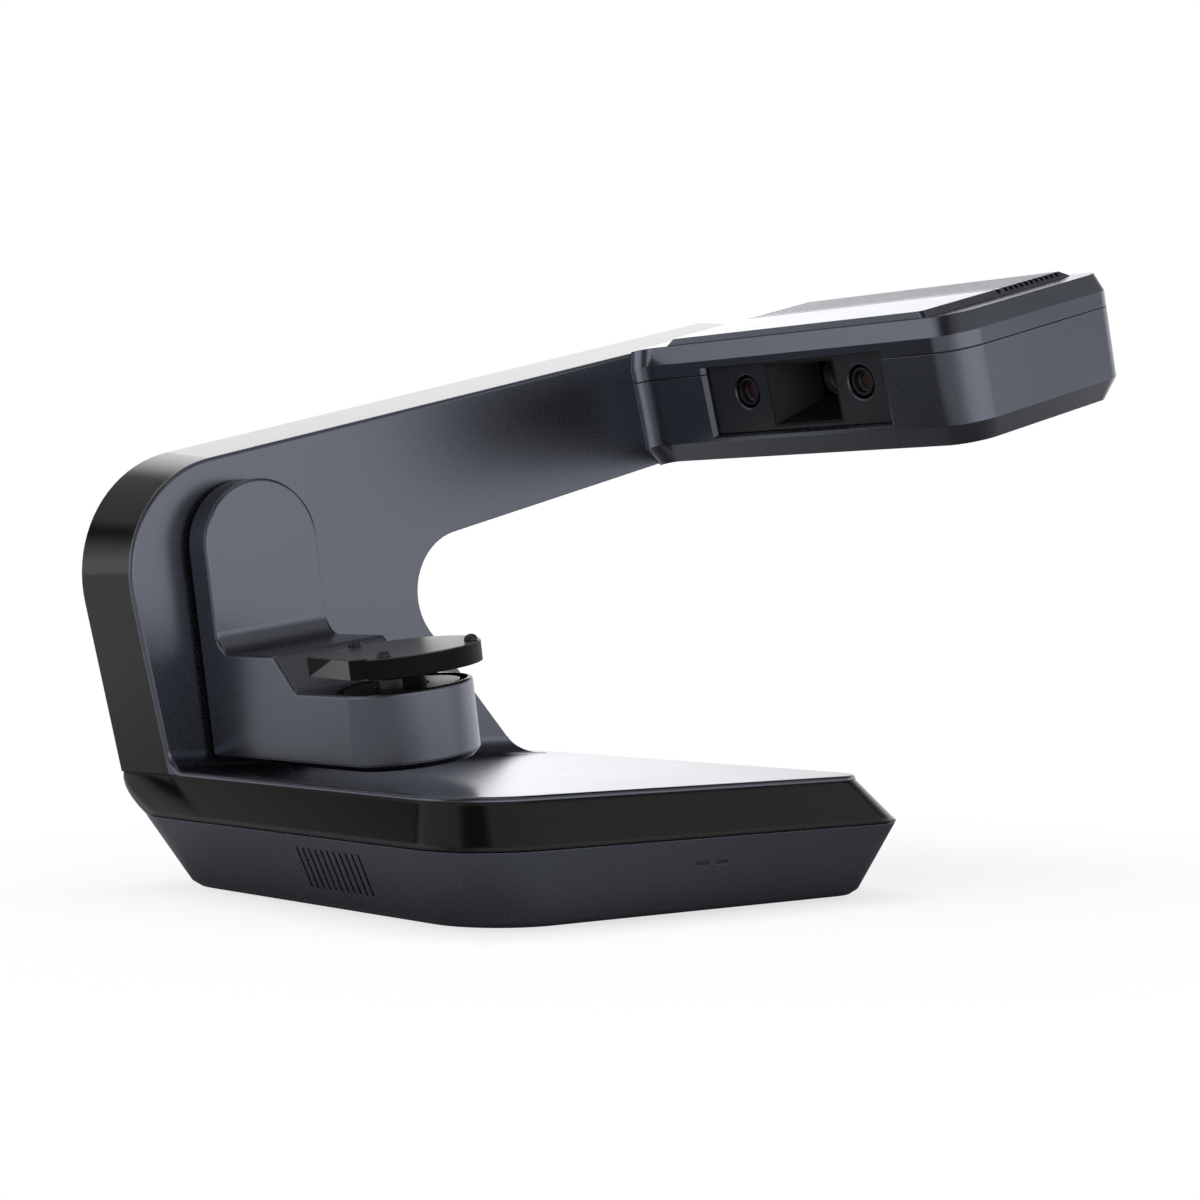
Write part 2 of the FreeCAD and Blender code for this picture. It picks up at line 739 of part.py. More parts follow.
def status_lights():
    pipes = []
    for low, high in LIGHT_SPANS:
        bar = slab(low + 0.1, high - 0.1, -140, -122, LIGHT_LOW + 0.1, LIGHT_HIGH - 0.1)
        pipes.append(bar.common(tub_solid(0.3, FOOT, SEAM - 1)))
    feature("status_lights", Part.makeCompound(pipes), BASE)


# ---------------------------------------------------------------- column and arm shells


def column_outline():
    """Front view of the column and arm, sharp corners, clockwise from the outer foot."""
    return [
        (size("column_foot_x"), size("deck_height")),
        (size("corner_x"), size("corner_z")),
        (size("arm_top_x"), size("arm_top_z")),
        (size("arm_low_x"), size("arm_low_z")),
        (size("throat_x"), size("throat_z")),
        (size("ramp_x"), size("deck_height") + size("ramp_lip")),
        (size("ramp_end"), size("deck_height") + size("ramp_lip")),
        (size("ramp_end"), size("deck_height")),
    ]


def column_fillets(body, outline, radii):
    """Rounds upright edges of the outline that run from front to back."""
    for index, radius in radii:
        x, z = outline[index]
        body.fillet(radius, edge_at(x=float(x), z=float(z), along=1))


def shell_pocket():
    """Outline of the room inside the column: open to the outer edge, walled at the throat."""
    points = [(float(x), float(z)) for x, z in column_outline()]
    past, wall = 6.0, float(WALL)
    below_deck = value("deck_height") - 3
    inner = grown(points, [past, past, past, -wall, -wall, 0, 0, 0])
    return inner[:5] + [(inner[5][0], below_deck), (value("column_foot_x") - 18, below_deck)]


HEAD_BOLTS = [(24, 20), (84, 20), (24, 42), (84, 42)]
WIRE_HOLE = (54, 31, 9.0)


def head_point(u, w):
    """A point of the head's frame in the base frame, front view."""
    moved = (BASE.inverse() * HEAD).multVec(Vector(u, 0, w))
    return moved.x, moved.z


def deck_strip(outline):
    """Front view of the strip of deck before the column, up to the top of its hollow rounding."""
    deck, rim, radius = size("deck_height"), size("rim_height"), size("cove_radius")
    foot, corner, throat, ramp, ramp_end = (outline[i] for i in (0, 1, 4, 5, 6))
    lean = (corner[0] - foot[0]) / (corner[1] - foot[1])
    fall = (ramp[0] - throat[0]) / (throat[1] - ramp[1])
    top = deck + radius
    return [
        (foot[0] - lean * (deck - rim), rim), (foot[0] + lean * radius, top),
        (ramp[0] - fall * (top - ramp[1]), top), ramp, ramp_end, (ramp_end[0], rim),
    ]


def column_front_shell():
    outline = column_outline()
    front = size("panel_front")
    parting = size("parting")
    radii = [
        (1, size("corner_radius")), (2, size("arm_end_radius")),
        (4, size("throat_radius")), (5, size("ramp_radius")),
    ]
    body = Body("column_front_shell", BASE)
    body.pad("XZ", [outline], front, parting)
    cove = size("cove_radius")
    body.pad("XZ", [deck_strip(outline)], front - cove, front + size("panel_thick"))
    column_fillets(body, outline, radii)
    foot_x, foot_z = float(outline[0][0]), float(outline[0][1])
    end_z = float(outline[3][1])
    throat_z = float(outline[4][1])

    def on_front(edge):
        return all(abs(v.Y - front) < 0.01 for v in edge.Vertexes) and abs(edge.CenterOfMass.y - front) < 0.01

    def underside(edge):
        return on_front(edge) and edge.Length > 150 and throat_z < edge.CenterOfMass.z < end_z - 5

    def outside(edge):
        return on_front(edge) and edge.CenterOfMass.x < foot_x and edge.Length > 50

    body.fillet(size("throat_round"), underside)
    cove_top = size("deck_height") + cove
    body.pocket("YZ", [circle(front - cove, cove_top, cove)], outline[0][0] - 10, outline[6][0] + 10)
    body.fillet(size("edge_round"), outside)
    body.pocket("XZ", [shell_pocket()], front + size("panel_thick"), parting + 1)
    throat = shell_pocket()[4]
    body.fillet(size("throat_radius") + WALL, edge_at(x=throat[0], z=throat[1], along=1))
    body.pocket("XZ", [circle(size("axle_x"), size("axle_z"), 13.0)], front - 1, front + size("panel_thick"))
    holes = [circle(*head_point(u, w), size("bolt_bore")) for u, w in HEAD_BOLTS]
    holes.append(circle(*head_point(*WIRE_HOLE[:2]), WIRE_HOLE[2]))
    body.pocket("XZ", holes, front - 1, front + size("panel_thick"))


def column_rear_shell():
    points = [(float(x), float(z)) for x, z in column_outline()]
    wider = grown(points, [1.0, 1.0, 1.0, 0, 0, 0, 0, 0])
    back = size("column_back")
    parting = size("parting") + 0.4
    body = Body("column_rear_shell", BASE)
    body.pad("XZ", [wider], parting, back)
    radii = [
        (1, size("corner_radius") + 1), (2, size("arm_end_radius")),
        (4, size("throat_radius")), (5, size("ramp_radius")),
    ]
    column_fillets(body, wider, radii)
    inner = shell_pocket()
    body.pocket("XZ", [inner], parting - 1, back - size("panel_thick"))
    throat = inner[4]
    body.fillet(size("throat_radius") + WALL, edge_at(x=throat[0], z=throat[1], along=1))
    left, low = size("rear_vent_left"), size("rear_vent_low")
    slot = rect(left, low, left + size("rear_vent_slot"), low + size("rear_vent_tall"))
    body.pocket("XZ", [slot], back - size("panel_thick") - 1, back + 1)
    body.repeat(12, size("rear_vent_pitch"))


def column_band_shape():
    """Gloss strip round the outside of the column and arm, wider at the back."""
    points = [(float(x), float(z)) for x, z in column_outline()[:4]]
    foot_x, foot_z = points[0]
    low_z = value("arm_low_z")
    radii = [0, value("corner_radius"), value("arm_end_radius"), 0, 0, 0]
    start = PANEL_FRONT + value("panel_thick")
    shapes = []
    for thickness in (0.0, value("band_thick")):
        wires = []
        for level, spread in ((start, 0.0), (COLUMN_BACK, value("band_flare"))):
            shift = spread - thickness
            closed = points + [(230.0, low_z - 13.0), (60.0, foot_z)]
            moved = grown(closed, [shift, shift, shift, -float(WALL) - 0.1, 0, foot_z - RIM])
            moved_radii = [r + shift if r else 0 for r in radii]
            wires.append(rounded_wire(moved, moved_radii, "XZ", level))
        shapes.append(ruled(wires))
    pieces = sorted(shapes[0].cut(shapes[1]).Solids, key=lambda s: s.Volume)
    return pieces[-1]


def column_band():
    feature("column_band", column_band_shape(), BASE)


# ---------------------------------------------------------------- fixed inner pieces


def bottom_plate():
    low = size("foot_height") + WALL
    half = size("hatch_half") + size("plate_margin")
    reach = size("hatch_reach") + size("plate_margin")
    body = Body("bottom_plate", BASE)
    body.pad("XY", [rect(-half, -reach, half, reach)], low, low + size("plate_thick"))
    body.fillet(6, edge_at(x=float(half), along=2), edge_at(x=-float(half), along=2))
    holes = [circle(x, y, 1.7) for x, y in SCREW_SPOTS]
    body.pocket("XY", holes, low - 1, low + size("plate_thick") + 1)


def rubber_feet():
    feet = []
    height = size("foot_height")
    for i, spot in enumerate(FOOT_SPOTS):
        pad = rod(f"foot_pad_{i}", "Z", spot, size("foot_radius"), 0.0, height)
        stem = rod(f"foot_stem_{i}", "Z", spot, 2.9, height, height + WALL)
        feet.append(joined(f"foot_{i}", [pad, stem]))
    group("rubber_feet", feet, BASE)


def bottom_screws():
    screws = []
    low = size("foot_height") + WALL
    for i, spot in enumerate(SCREW_SPOTS):
        head = rod(f"bottom_screw_head_{i}", "Z", spot, 2.8, size("foot_height") + 0.4, low)
        shank = rod(f"bottom_screw_shank_{i}", "Z", spot, 1.6, low, low + 6)
        screws.append(joined(f"bottom_screw_{i}", [head, shank]))
    group("bottom_screws", screws, BASE)


def boards():
    """Main and power boards on their standoffs."""
    seat = size("foot_height") + WALL + size("plate_thick")
    low = seat + size("standoff_tall")
    top = low + size("board_thick")
    chip, socket, coil = top + 2.4, top + 9.4, top + 12.4
    main = Body("main_board", BASE)
    main.pad("XY", [rect(-4, -96, 76, -16)], low, top)
    main.pad("XY", [rect(20, -70, 44, -46), rect(54, -88, 70, -62)], top, chip)
    main.pad("XY", [rect(2, -92, 14, -76), rect(2, -34, 30, -26)], top, socket)
    power = Body("power_board", BASE)
    power.pad("XY", [rect(-60, 20, 10, 84)], low, top)
    power.pad("XY", [rect(-52, 60, -28, 80), circle(0, 30, 5), circle(0, 44, 5)], top, coil)
    corners = [(-1, -93), (73, -93), (-1, -19), (73, -19), (-57, 23), (7, 23), (-57, 81), (7, 81)]
    radius = size("standoff_radius")
    posts = [rod(f"standoff_{i}", "Z", spot, radius, seat, low) for i, spot in enumerate(corners)]
    group("board_standoffs", posts, BASE)


def fan():
    """Axial fan behind the vent slots: a square frame with a strut, and a bladed rotor."""
    centre_y, centre_z = size("fan_y"), size("fan_z")
    low = size("fan_left")
    high = low + size("fan_thick")
    half = size("fan_size") / 2
    bore, hub, pin = size("fan_bore"), size("fan_hub"), size("fan_pin")
    body = Body("fan_frame", BASE)
    body.pad("YZ", [rect(centre_y - half, centre_z - half, centre_y + half, centre_z + half)], low, high)
    body.pocket("YZ", [circle(centre_y, centre_z, bore)], low - 1, high + 1)
    strut = rect(centre_y - bore - 0.5, centre_z - 1, centre_y + bore + 0.5, centre_z + 1)
    body.pad("YZ", [strut], low, low + 1.5)
    body.pad("YZ", [circle(centre_y, centre_z, hub)], low, low + 1.5)
    body.pocket("YZ", [circle(centre_y, centre_z, pin + RUN)], low - 1, low + 2)

    y, z, left, right = float(centre_y), float(centre_z), float(low), float(high)
    axis = Vector(1, 0, 0)
    rotor = Part.makeCylinder(float(hub), right - left - 2.6, Vector(left + 2.2, y, z), axis)
    rotor = rotor.fuse(Part.makeCylinder(float(pin), 2.0, Vector(left + 0.2, y, z), axis))
    sweep = Part.makeCylinder(value("fan_blade"), 20, Vector(left - 5, y, z), axis)
    blades, twist = 7, 40
    for i in range(blades):
        blade = slab(left + 1.0, right + 1.0, y - 0.6, y + 0.6, z + 4, z + 30)
        blade.rotate(Vector((left + right) / 2, y, z), Vector(0, 0, 1), twist)
        blade = blade.common(slab(left + 2.6, right - 0.8, y - 30, y + 30, z, z + 30))
        blade.rotate(Vector(left, y, z), axis, 360 * i / blades)
        rotor = rotor.fuse(blade.common(sweep))
    feature("fan_rotor", rotor.removeSplitter(), BASE)


def belt_shape(radius_a, radius_b, distance):
    """Closed flat belt round two pulleys, the second one along +x, lying in XY and centred on it."""
    clearance = value("belt_gap")
    width = value("belt_width") - 2 * clearance
    low = Vector(0, 0, -width / 2)

    def loop(grow):
        a = radius_a + grow
        b = radius_b + grow
        lean = math.acos((a - b) / distance)
        corners = [
            Vector(a * math.cos(lean), a * math.sin(lean), low.z),
            Vector(a * math.cos(lean), -a * math.sin(lean), low.z),
            Vector(distance + b * math.cos(lean), -b * math.sin(lean), low.z),
            Vector(distance + b * math.cos(lean), b * math.sin(lean), low.z),
        ]
        big = Part.makeCylinder(a, width, low)
        small = Part.makeCylinder(b, width, low + Vector(distance, 0, 0))
        middle = Part.Face(Part.makePolygon(corners + corners[:1])).extrude(Vector(0, 0, width))
        return big.fuse([small, middle]).removeSplitter()

    return loop(clearance + value("belt_thick")).cut(loop(clearance))


def pulley(label, frame, axis_plane, x, y, radius, low, high, bore):
    """Flanged flat pulley with its belt face between two levels."""
    body = Body(label, frame)
    flange = size("flange")
    rim = radius + size("flange_rim")
    body.pad(axis_plane, [circle(x, y, radius)], low, high)
    body.pad(axis_plane, [circle(x, y, rim)], low - flange, low)
    body.pad(axis_plane, [circle(x, y, rim)], high, high + flange)
    if bore:
        body.pocket(axis_plane, [circle(x, y, bore)], low - flange - 1, high + flange + 1)
    return body


def tilt_drive():
    """Axle, bearings, motor, pulleys and belt that tilt the swing arm."""
    x, z = size("axle_x"), size("axle_z")
    belt_low = size("belt_front")
    belt_high = belt_low + size("belt_width")
    radius = size("axle_radius")
    axle = Body("swing_shaft", SWING)
    axle.pad("XZ", [circle(0, 0, radius)], size("plate_front") + WALL, size("axle_back"))
    pulley("swing_pulley", SWING, "XZ", 0, 0, size("tilt_pulley"), belt_low, belt_high, radius)

    outer, long = size("bearing_radius"), size("bearing_long")
    spine_front, bracket_front = size("spine_front"), size("bracket_front")
    spans = [(spine_front, spine_front + long), (bracket_front, bracket_front + long)]
    bearings = [
        ring(f"swing_bearing_{i}", "Y", (x, z), outer, radius + RUN, low, high)
        for i, (low, high) in enumerate(spans)
    ]
    group("swing_bearings", bearings, BASE)

    spine_back = spine_front + size("spine_thick")
    bracket = Body("shaft_bracket", BASE)
    bracket_back = bracket_front + long
    bracket.pad("XZ", [rect(x - 24, z - 18, x + 24, z + 18)], bracket_front, bracket_back)
    posts = [circle(x + a * 19, z + b * 13, 3.5) for a in (-1, 1) for b in (-1, 1)]
    bracket.pad("XZ", posts, spine_back, bracket_front)
    bracket.pocket("XZ", [circle(x, z, outer)], bracket_front - 1, bracket_back + 1)

    motor_x, motor_z = size("tilt_motor_x"), size("tilt_motor_z")
    half = size("tilt_motor_size") / 2
    motor = Body("swing_motor", BASE)
    square = rect(motor_x - half, motor_z - half, motor_x + half, motor_z + half)
    motor.pad("XZ", [square], spine_back, spine_back + 20)
    motor.pad("XZ", [circle(motor_x, motor_z, 10.8)], spine_front, spine_back)
    stub = size("tilt_stub")
    motor.pocket("XZ", [circle(motor_x, motor_z, stub + RUN)], spine_front - 1, spine_back + 12)
    body = pulley(
        "swing_pinion", BASE, "XZ", motor_x, motor_z, size("tilt_pinion"), belt_low, belt_high, None
    )
    body.pad("XZ", [circle(motor_x, motor_z, stub)], belt_high + size("flange"), spine_back + 10)

    run = Vector(float(motor_x - x), float(motor_z - z), 0)
    belt = belt_shape(value("tilt_pulley"), value("tilt_pinion"), run.Length)
    belt.rotate(Vector(0, 0, 0), Vector(0, 0, 1), math.degrees(math.atan2(run.y, run.x)))
    belt.rotate(Vector(0, 0, 0), Vector(1, 0, 0), 90)
    belt.translate(Vector(float(x), float(belt_low + belt_high) / 2, float(z)))
    feature("swing_belt", belt, BASE)


def spine():
    front = size("spine_front")
    back = front + size("spine_thick")
    outline = [
        (-80, 9.8), (-80, 58), (-97, 66), (-120, 160), (-92, 184), (252, 270), (258, 242),
        (44, 182), (14, 154), (14, 128), (64, 68), (0, 58), (0, 9.8),
    ]
    body = Body("spine_plate", BASE)
    body.pad("XZ", [outline], front, back)
    x, z = size("axle_x"), size("axle_z")
    body.pocket("XZ", [circle(x, z, size("bearing_radius"))], front - 1, back + 1)
    body.pocket("XZ", [circle(size("tilt_motor_x"), size("tilt_motor_z"), 11.0)], front - 1, back + 1)
    windows = [
        rect(-66, 74, -20, 112), rect(-8, 74, 20, 104), [(60, 200), (150, 222), (150, 240), (60, 218)],
    ]
    body.pocket("XZ", windows, front - 1, back + 1)
    holes = [circle(*head_point(u, w), size("bolt_bore")) for u, w in HEAD_BOLTS]
    body.pocket("XZ", holes, front - 1, back + 1)
    foot = Body("spine_foot", BASE)
    seat = size("foot_height") + WALL + size("plate_thick")
    foot.pad("XY", [rect(-78, 92, -2, 114)], seat, seat + 3)
    foot.pad("XY", [rect(-78, 111, -2, 114)], seat + 3, 44.0)


def rear_fittings():
    face, z = size("port_face"), size("port_z")
    x = size("inlet_x")
    inlet = Body("dc_inlet", BASE)
    inlet.pad("XZ", [circle(x, z, 5.5)], face - 2, face + 1.5)
    inlet.pad("XZ", [rect(x - 7, z - 6.5, x + 7, z + 6.5)], face - 14, face - 2)
    inlet.pocket("XZ", [circle(x, z, 3.2)], face - 10, face + 2)
    inlet.pad("XZ", [circle(x, z, 1.0)], face - 10, face + 0.5)
    x = size("usb_x")
    port = Body("usb_port", BASE)
    port.pad("XZ", [rect(x - 6, z - 5.6, x + 6, z + 5.6)], face - 15, face + 0.8)
    port.pocket("XZ", [rect(x - 5.2, z - 4.8, x + 5.2, z + 4.8)], face - 9, face + 1)
    port.pad("XZ", [rect(x - 3, z - 2, x + 3, z + 1)], face - 9, face - 0.6)
    x = size("switch_x")
    switch = Body("switch_body", BASE)
    switch.pad("XZ", [rect(x - 9.4, z - 6.4, x + 9.4, z + 6.4)], face - 13, face)
    switch.pad("XZ", [rect(x - 10.6, z - 7.6, x + 10.6, z + 7.6)], face, face + 1.6)
    switch.pocket("XZ", [rect(x - 8, z - 5, x + 8, z + 5)], face - 9, face + 2)
    pivot = face - size("rocker_pivot")
    switch.pocket("YZ", [circle(pivot, z, size("rocker_pin") + RUN)], x - 9, x + 9)
    screws = [
        rod(f"rear_screw_{i}", "Y", spot, 3.0, size("column_back"), size("column_back") + 0.9)
        for i, spot in enumerate([(-98, 70), (70, 66), (-108, 178), (120, 206), (240, 246)])
    ]
    group("rear_screws", screws, BASE)


def switch_rocker():
    """Dished key of the power switch, resting on its lower half."""
    face, x, z = value("port_face"), value("switch_x"), value("port_z")
    key = slab(x - 7.7, x + 7.7, face - 5, face + 2.6, z - 4.2, z + 4.2)
    dish = Part.makeCylinder(26, 30, Vector(x - 15, face + 27.2, z), Vector(1, 0, 0))
    pivot = face - value("rocker_pivot")
    pin = Part.makeCylinder(value("rocker_pin"), 17.6, Vector(x - 8.8, pivot, z), Vector(1, 0, 0))
    key = key.cut(dish).fuse(pin)
    key.rotate(Vector(x, pivot, z), Vector(1, 0, 0), value("rocker_throw") / 2)
    feature("switch_rocker", key, BASE)


# ---------------------------------------------------------------- head


def head_section(height, inset=0.0):
    """Outline of the head across its height, moved inwards by the inset."""
    length, reach, corner = value("head_length"), value("head_front"), value("head_right_corner")
    # height, left end, right end, front, front right corner
    levels = [
        (value("head_low"), value("end_low"), length - 6.5, reach - 8.0, corner / 2),
        (value("head_bevel"), 0.0, length, reach, corner),
        (value("head_shoulder"), 0.0, length + 1.8, reach, corner),
        (value("head_top"), value("end_high"), length - 0.8, reach - 2.6, corner),
    ]
    for below, above in zip(levels, levels[1:]):
        if below[0] - 1e-6 <= height <= above[0] + 1e-6:
            part = (height - below[0]) / (above[0] - below[0])
            left, right, front, corner = (a + part * (b - a) for a, b in zip(below[1:], above[1:]))
    left, right, front = left + inset, right - inset, front - inset
    back = PANEL_FRONT - inset
    points = [(left, -front), (right, -front), (right, back), (left, back)]
    radii = [value("head_corner"), corner, 3.0, 3.0]
    radii = [max(r - inset, 0.6) for r in radii]
    return rounded_wire(points, radii, "XY", height)


def flare_section(height):
    """Outline of the hollow rounding that leads the head's left end into the arm's front."""
    past = 1.0
    part = max(0.0, (height - value("head_shoulder")) / (value("head_top") - value("head_shoulder")))
    rise = max(0.0, (value("head_bevel") - height) / (value("head_bevel") - value("head_low")))
    left = value("end_high") * part + value("end_low") * rise
    reach, tip = value("head_flare"), value("flare_tip")
    back = PANEL_FRONT - tip
    sag = reach * (1 - math.sqrt(0.5))
    start = Vector(left - reach, back, height)
    middle = Vector(left - sag, back - sag, height)
    end = Vector(left, back - reach, height)
    foot = Vector(left + past, PANEL_FRONT, height)
    corners = [end, end + Vector(past, 0, 0), foot, start + Vector(0, tip, 0), start]
    lines = [Part.LineSegment(a, b).toShape() for a, b in zip(corners, corners[1:])]
    return Part.Wire([Part.Arc(start, middle, end).toShape()] + lines)


def head_stack(heights, inset=0.0):
    """Solid head shape between the listed heights."""
    solid = None
    for low, high in zip(heights, heights[1:]):
        piece = ruled([head_section(low, inset), head_section(high, inset)])
        if not inset:
            piece = piece.fuse(ruled([flare_section(low), flare_section(high)]))
        solid = piece if solid is None else solid.fuse(piece)
    return solid.removeSplitter()


def window_tool(low, high):
    return slab(-5, value("bezel_back") + 1, value("window_right"), value("window_left"), low, high)


def window_sill():
    """Bevelled edges at the window's left end and below it."""
    deep = value("sill_deep")
    right, high = value("window_right"), value("window_high")
    wires = []
    for u, part in ((-deep, 2.0), (deep, 0.0)):
        left = value("window_left") + part * value("sill_left")
        low = value("window_low") - part * value("sill_low")
        corners = [Vector(u, y, w) for y, w in ((right, low), (left, low), (left, high), (right, high))]
        wires.append(Part.makePolygon(corners + corners[:1]))
    return ruled(wires)


def window_frame(low, high):
    """Frame behind the head's left wall that carries the bezel."""
    edge = value("frame_edge")
    right, left = value("window_right") - edge, value("window_left") + edge
    return slab(SKIN - 0.1, value("bezel_back"), right, left, low, high)


def head_shells():
    seam = value("head_seam")
    half_gap = 0.2
    low, bevel = value("head_low"), value("head_bevel")
    shoulder, top = value("head_shoulder"), value("head_top")
    outside = head_stack([low, bevel, seam - half_gap])
    inside = head_stack([low + SKIN, bevel, seam - half_gap], SKIN)
    edge = value("frame_edge")
    lower = outside.cut(inside).fuse(window_frame(value("window_low") - edge, seam - half_gap))
    tools = [window_tool(value("window_low"), seam + 5), window_sill()]
    holes = [(u, w, value("bolt_bore")) for u, w in HEAD_BOLTS] + [WIRE_HOLE]
    for u, w, radius in holes:
        tools.append(Part.makeCylinder(radius, 12, Vector(u, PANEL_FRONT - 6, w), Vector(0, 1, 0)))
    feature("head_lower_shell", lower.cut(tools).removeSplitter(), HEAD)
    outside = head_stack([seam + half_gap, shoulder, top])
    inside = head_stack([seam + half_gap, shoulder, top - SKIN], SKIN)
    upper = outside.cut(inside).fuse(window_frame(seam + half_gap, value("window_high") + edge))
    lid_opening = slab(56, 106, -90, 74, top - 5, top + 1)
    tools = [window_tool(seam - 5, value("window_high")), window_sill(), lid_opening]
    feature("head_upper_shell", upper.cut(tools).removeSplitter(), HEAD)


def head_top_cover():
    """Raised plate with sloping sides; its right part is a row of long vent slots."""
    low, high = value("head_top"), value("cover_top")
    foot = [(3.2, -101.5), (112.5, -101.5), (112.5, 85), (3.2, 85)]
    lid = grown(foot, [-2.4, -5.5, -6.0, -0.4])
    radii = [3.0, 3.0, 3.0, 3.0]
    plate = ruled([rounded_wire(foot, radii, "XY", low), rounded_wire(lid, radii, "XY", high)])
    pitch, wide = value("slot_pitch"), value("slot_wide")
    starts = [57.5] + [63.0 + i * pitch for i in range(11)]
    tools = []
    for u in starts:
        tools.append(slab(u, u + wide, -110, 76, low + 1.2, high + 1))
        tools.append(slab(u, u + wide, -88, 72, low - 1, low + 2))
    feature("head_top_cover", plate.cut(tools), HEAD)


def optics():
    slack = size("bezel_slack")
    left, right = size("window_left") - slack, size("window_right") + slack
    low, high = size("window_low") + slack, size("window_high") - slack
    y, w = size("optic_y"), size("optic_w")
    bezel_front, bezel_back = size("bezel_front"), size("bezel_back")
    reach = size("optic_half")
    eyes = {"left": y + reach, "right": y - reach}

    bezel = Body("camera_bezel", HEAD)
    bezel.pad("YZ", [rect(right, low, left, high)], bezel_front, bezel_back)
    through = (bezel_front - 1, bezel_back + 1)
    bezel.pocket("YZ", [circle(eye, w, size("eye_radius")) for eye in eyes.values()], *through)
    half, foot, brow = size("hood_half"), size("hood_foot"), size("hood_brow")
    bezel.pocket("YZ", [rect(y - half, low + foot, y + half, high - brow)], *through)
    bezel.chamfer(0.7, *[
        (lambda e, c=eye: e.Length > 40 and abs(e.CenterOfMass.y - c) < 0.1
         and abs(e.CenterOfMass.x - bezel_front) < 0.1 and abs(e.CenterOfMass.z - w) < 0.1)
        for eye in eyes.values()
    ])

    def tunnel(grow):
        """Four-sided funnel from the window back to the projector, grown on all sides."""
        wide, end = half + grow, size("hood_end") + grow
        mouth = rect(y - wide, low + foot - grow, y + wide, high - brow + grow)
        back = rect(y - end, w - end, y + end, w + end)
        wires = []
        for points, u in ((mouth, bezel_front), (back, size("hood_back"))):
            corners = [Vector(u, a, b) for a, b in points]
            wires.append(Part.makePolygon(corners + corners[:1]))
        return ruled(wires)

    feature("projector_hood", tunnel(0.0).cut(tunnel(-size("hood_wall"))), HEAD)

    for side, eye in eyes.items():
        camera = Body("camera_" + side, HEAD)
        camera.pad("YZ", [circle(eye, w, size("barrel_radius"))], bezel_back + 0.2, 25.0)
        camera.pad("YZ", [rect(eye - 12, w - 12, eye + 12, w + 10)], 25.0, 46.0)
        camera.pocket("YZ", [circle(eye, w, size("lens_radius"))], bezel_back - 1.0, 16.0)
        glass = Body(f"camera_{side}_lens", HEAD)
        glass.pad("YZ", [circle(eye, w, size("lens_radius"))], bezel_back + 2.5, bezel_back + 4.5)

    barrel = Body("projector_barrel", HEAD)
    barrel.pad("YZ", [circle(y, w, size("projector_radius"))], 28.4, 45.0)
    barrel.pocket("YZ", [circle(y, w, size("projector_bore"))], 28.0, 40.0)
    glass = Body("projector_lens", HEAD)
    glass.pad("YZ", [circle(y, w, size("projector_bore"))], 30.5, 33.0)
    engine = Body("projector_engine", HEAD)
    engine.pad("YZ", [rect(y - 24, 9.0, y + 24, 44.0)], 45.0, 88.0)

    bracket = Body("optics_bracket", HEAD)
    bracket.pad("YZ", [rect(-70, 8.0, 44, 43.6)], 21.0, 24.0)
    bracket.pocket("YZ", [circle(eye, w, size("barrel_radius") + 0.2) for eye in eyes.values()], 20, 25)
    bracket.pocket("YZ", [rect(y - 17, w - 17, y + 17, 45.0)], 20, 25)

    sink = Body("heat_sink", HEAD)
    sink.pad("XY", [rect(48, y - 22, 86, y + 22)], 44.4, 47.4)
    sink.pad("XY", [rect(48, y - 22, 49.4, y + 22)], 47.4, 56.5)
    sink.repeat(8, size("fin_pitch"))

    board = Body("head_board", HEAD)
    board.pad("XY", [rect(18, 48, 92, 92)], 6.0, 7.6)
    board.pad("XY", [rect(30, 56, 48, 74), rect(60, 60, 82, 68)], 7.6, 10.2)


def head_fixings():
    front = size("panel_front")
    plate = Body("head_mount_plate", HEAD)
    rear = front - WALL
    plate.pad("XZ", [rect(14, 11, 94, 50)], rear - 3, rear)
    bore = size("bolt_bore")
    holes = [circle(u, w, bore) for u, w in HEAD_BOLTS] + [circle(*WIRE_HOLE)]
    plate.pocket("XZ", holes, rear - 4, rear + 1)
    radius, cap_radius, cap_tall = size("bolt_radius"), size("bolt_cap"), size("bolt_cap_tall")
    spine_back = size("spine_front") + size("spine_thick")
    bolts = []
    for i, (u, w) in enumerate(HEAD_BOLTS):
        shank = rod(f"head_bolt_{i}_shank", "Y", (u, w), radius, rear - 3, spine_back)
        cap = rod(f"head_bolt_{i}_cap", "Y", (u, w), cap_radius, rear - 3 - cap_tall, rear - 3)
        nut = rod(f"head_bolt_{i}_nut", "Y", (u, w), cap_radius, spine_back, spine_back + cap_tall)
        bolts.append(joined(f"head_bolt_{i}", [shank, cap, nut]))
    group("head_bolts", bolts, HEAD)
    sleeves = [
        ring(f"head_spacer_{i}", "Y", (u, w), 5.0, bore, front + size("panel_thick"), size("spine_front"))
        for i, (u, w) in enumerate(HEAD_BOLTS)
    ]
    group("head_spacers", sleeves, HEAD)


# ---------------------------------------------------------------- swing arm


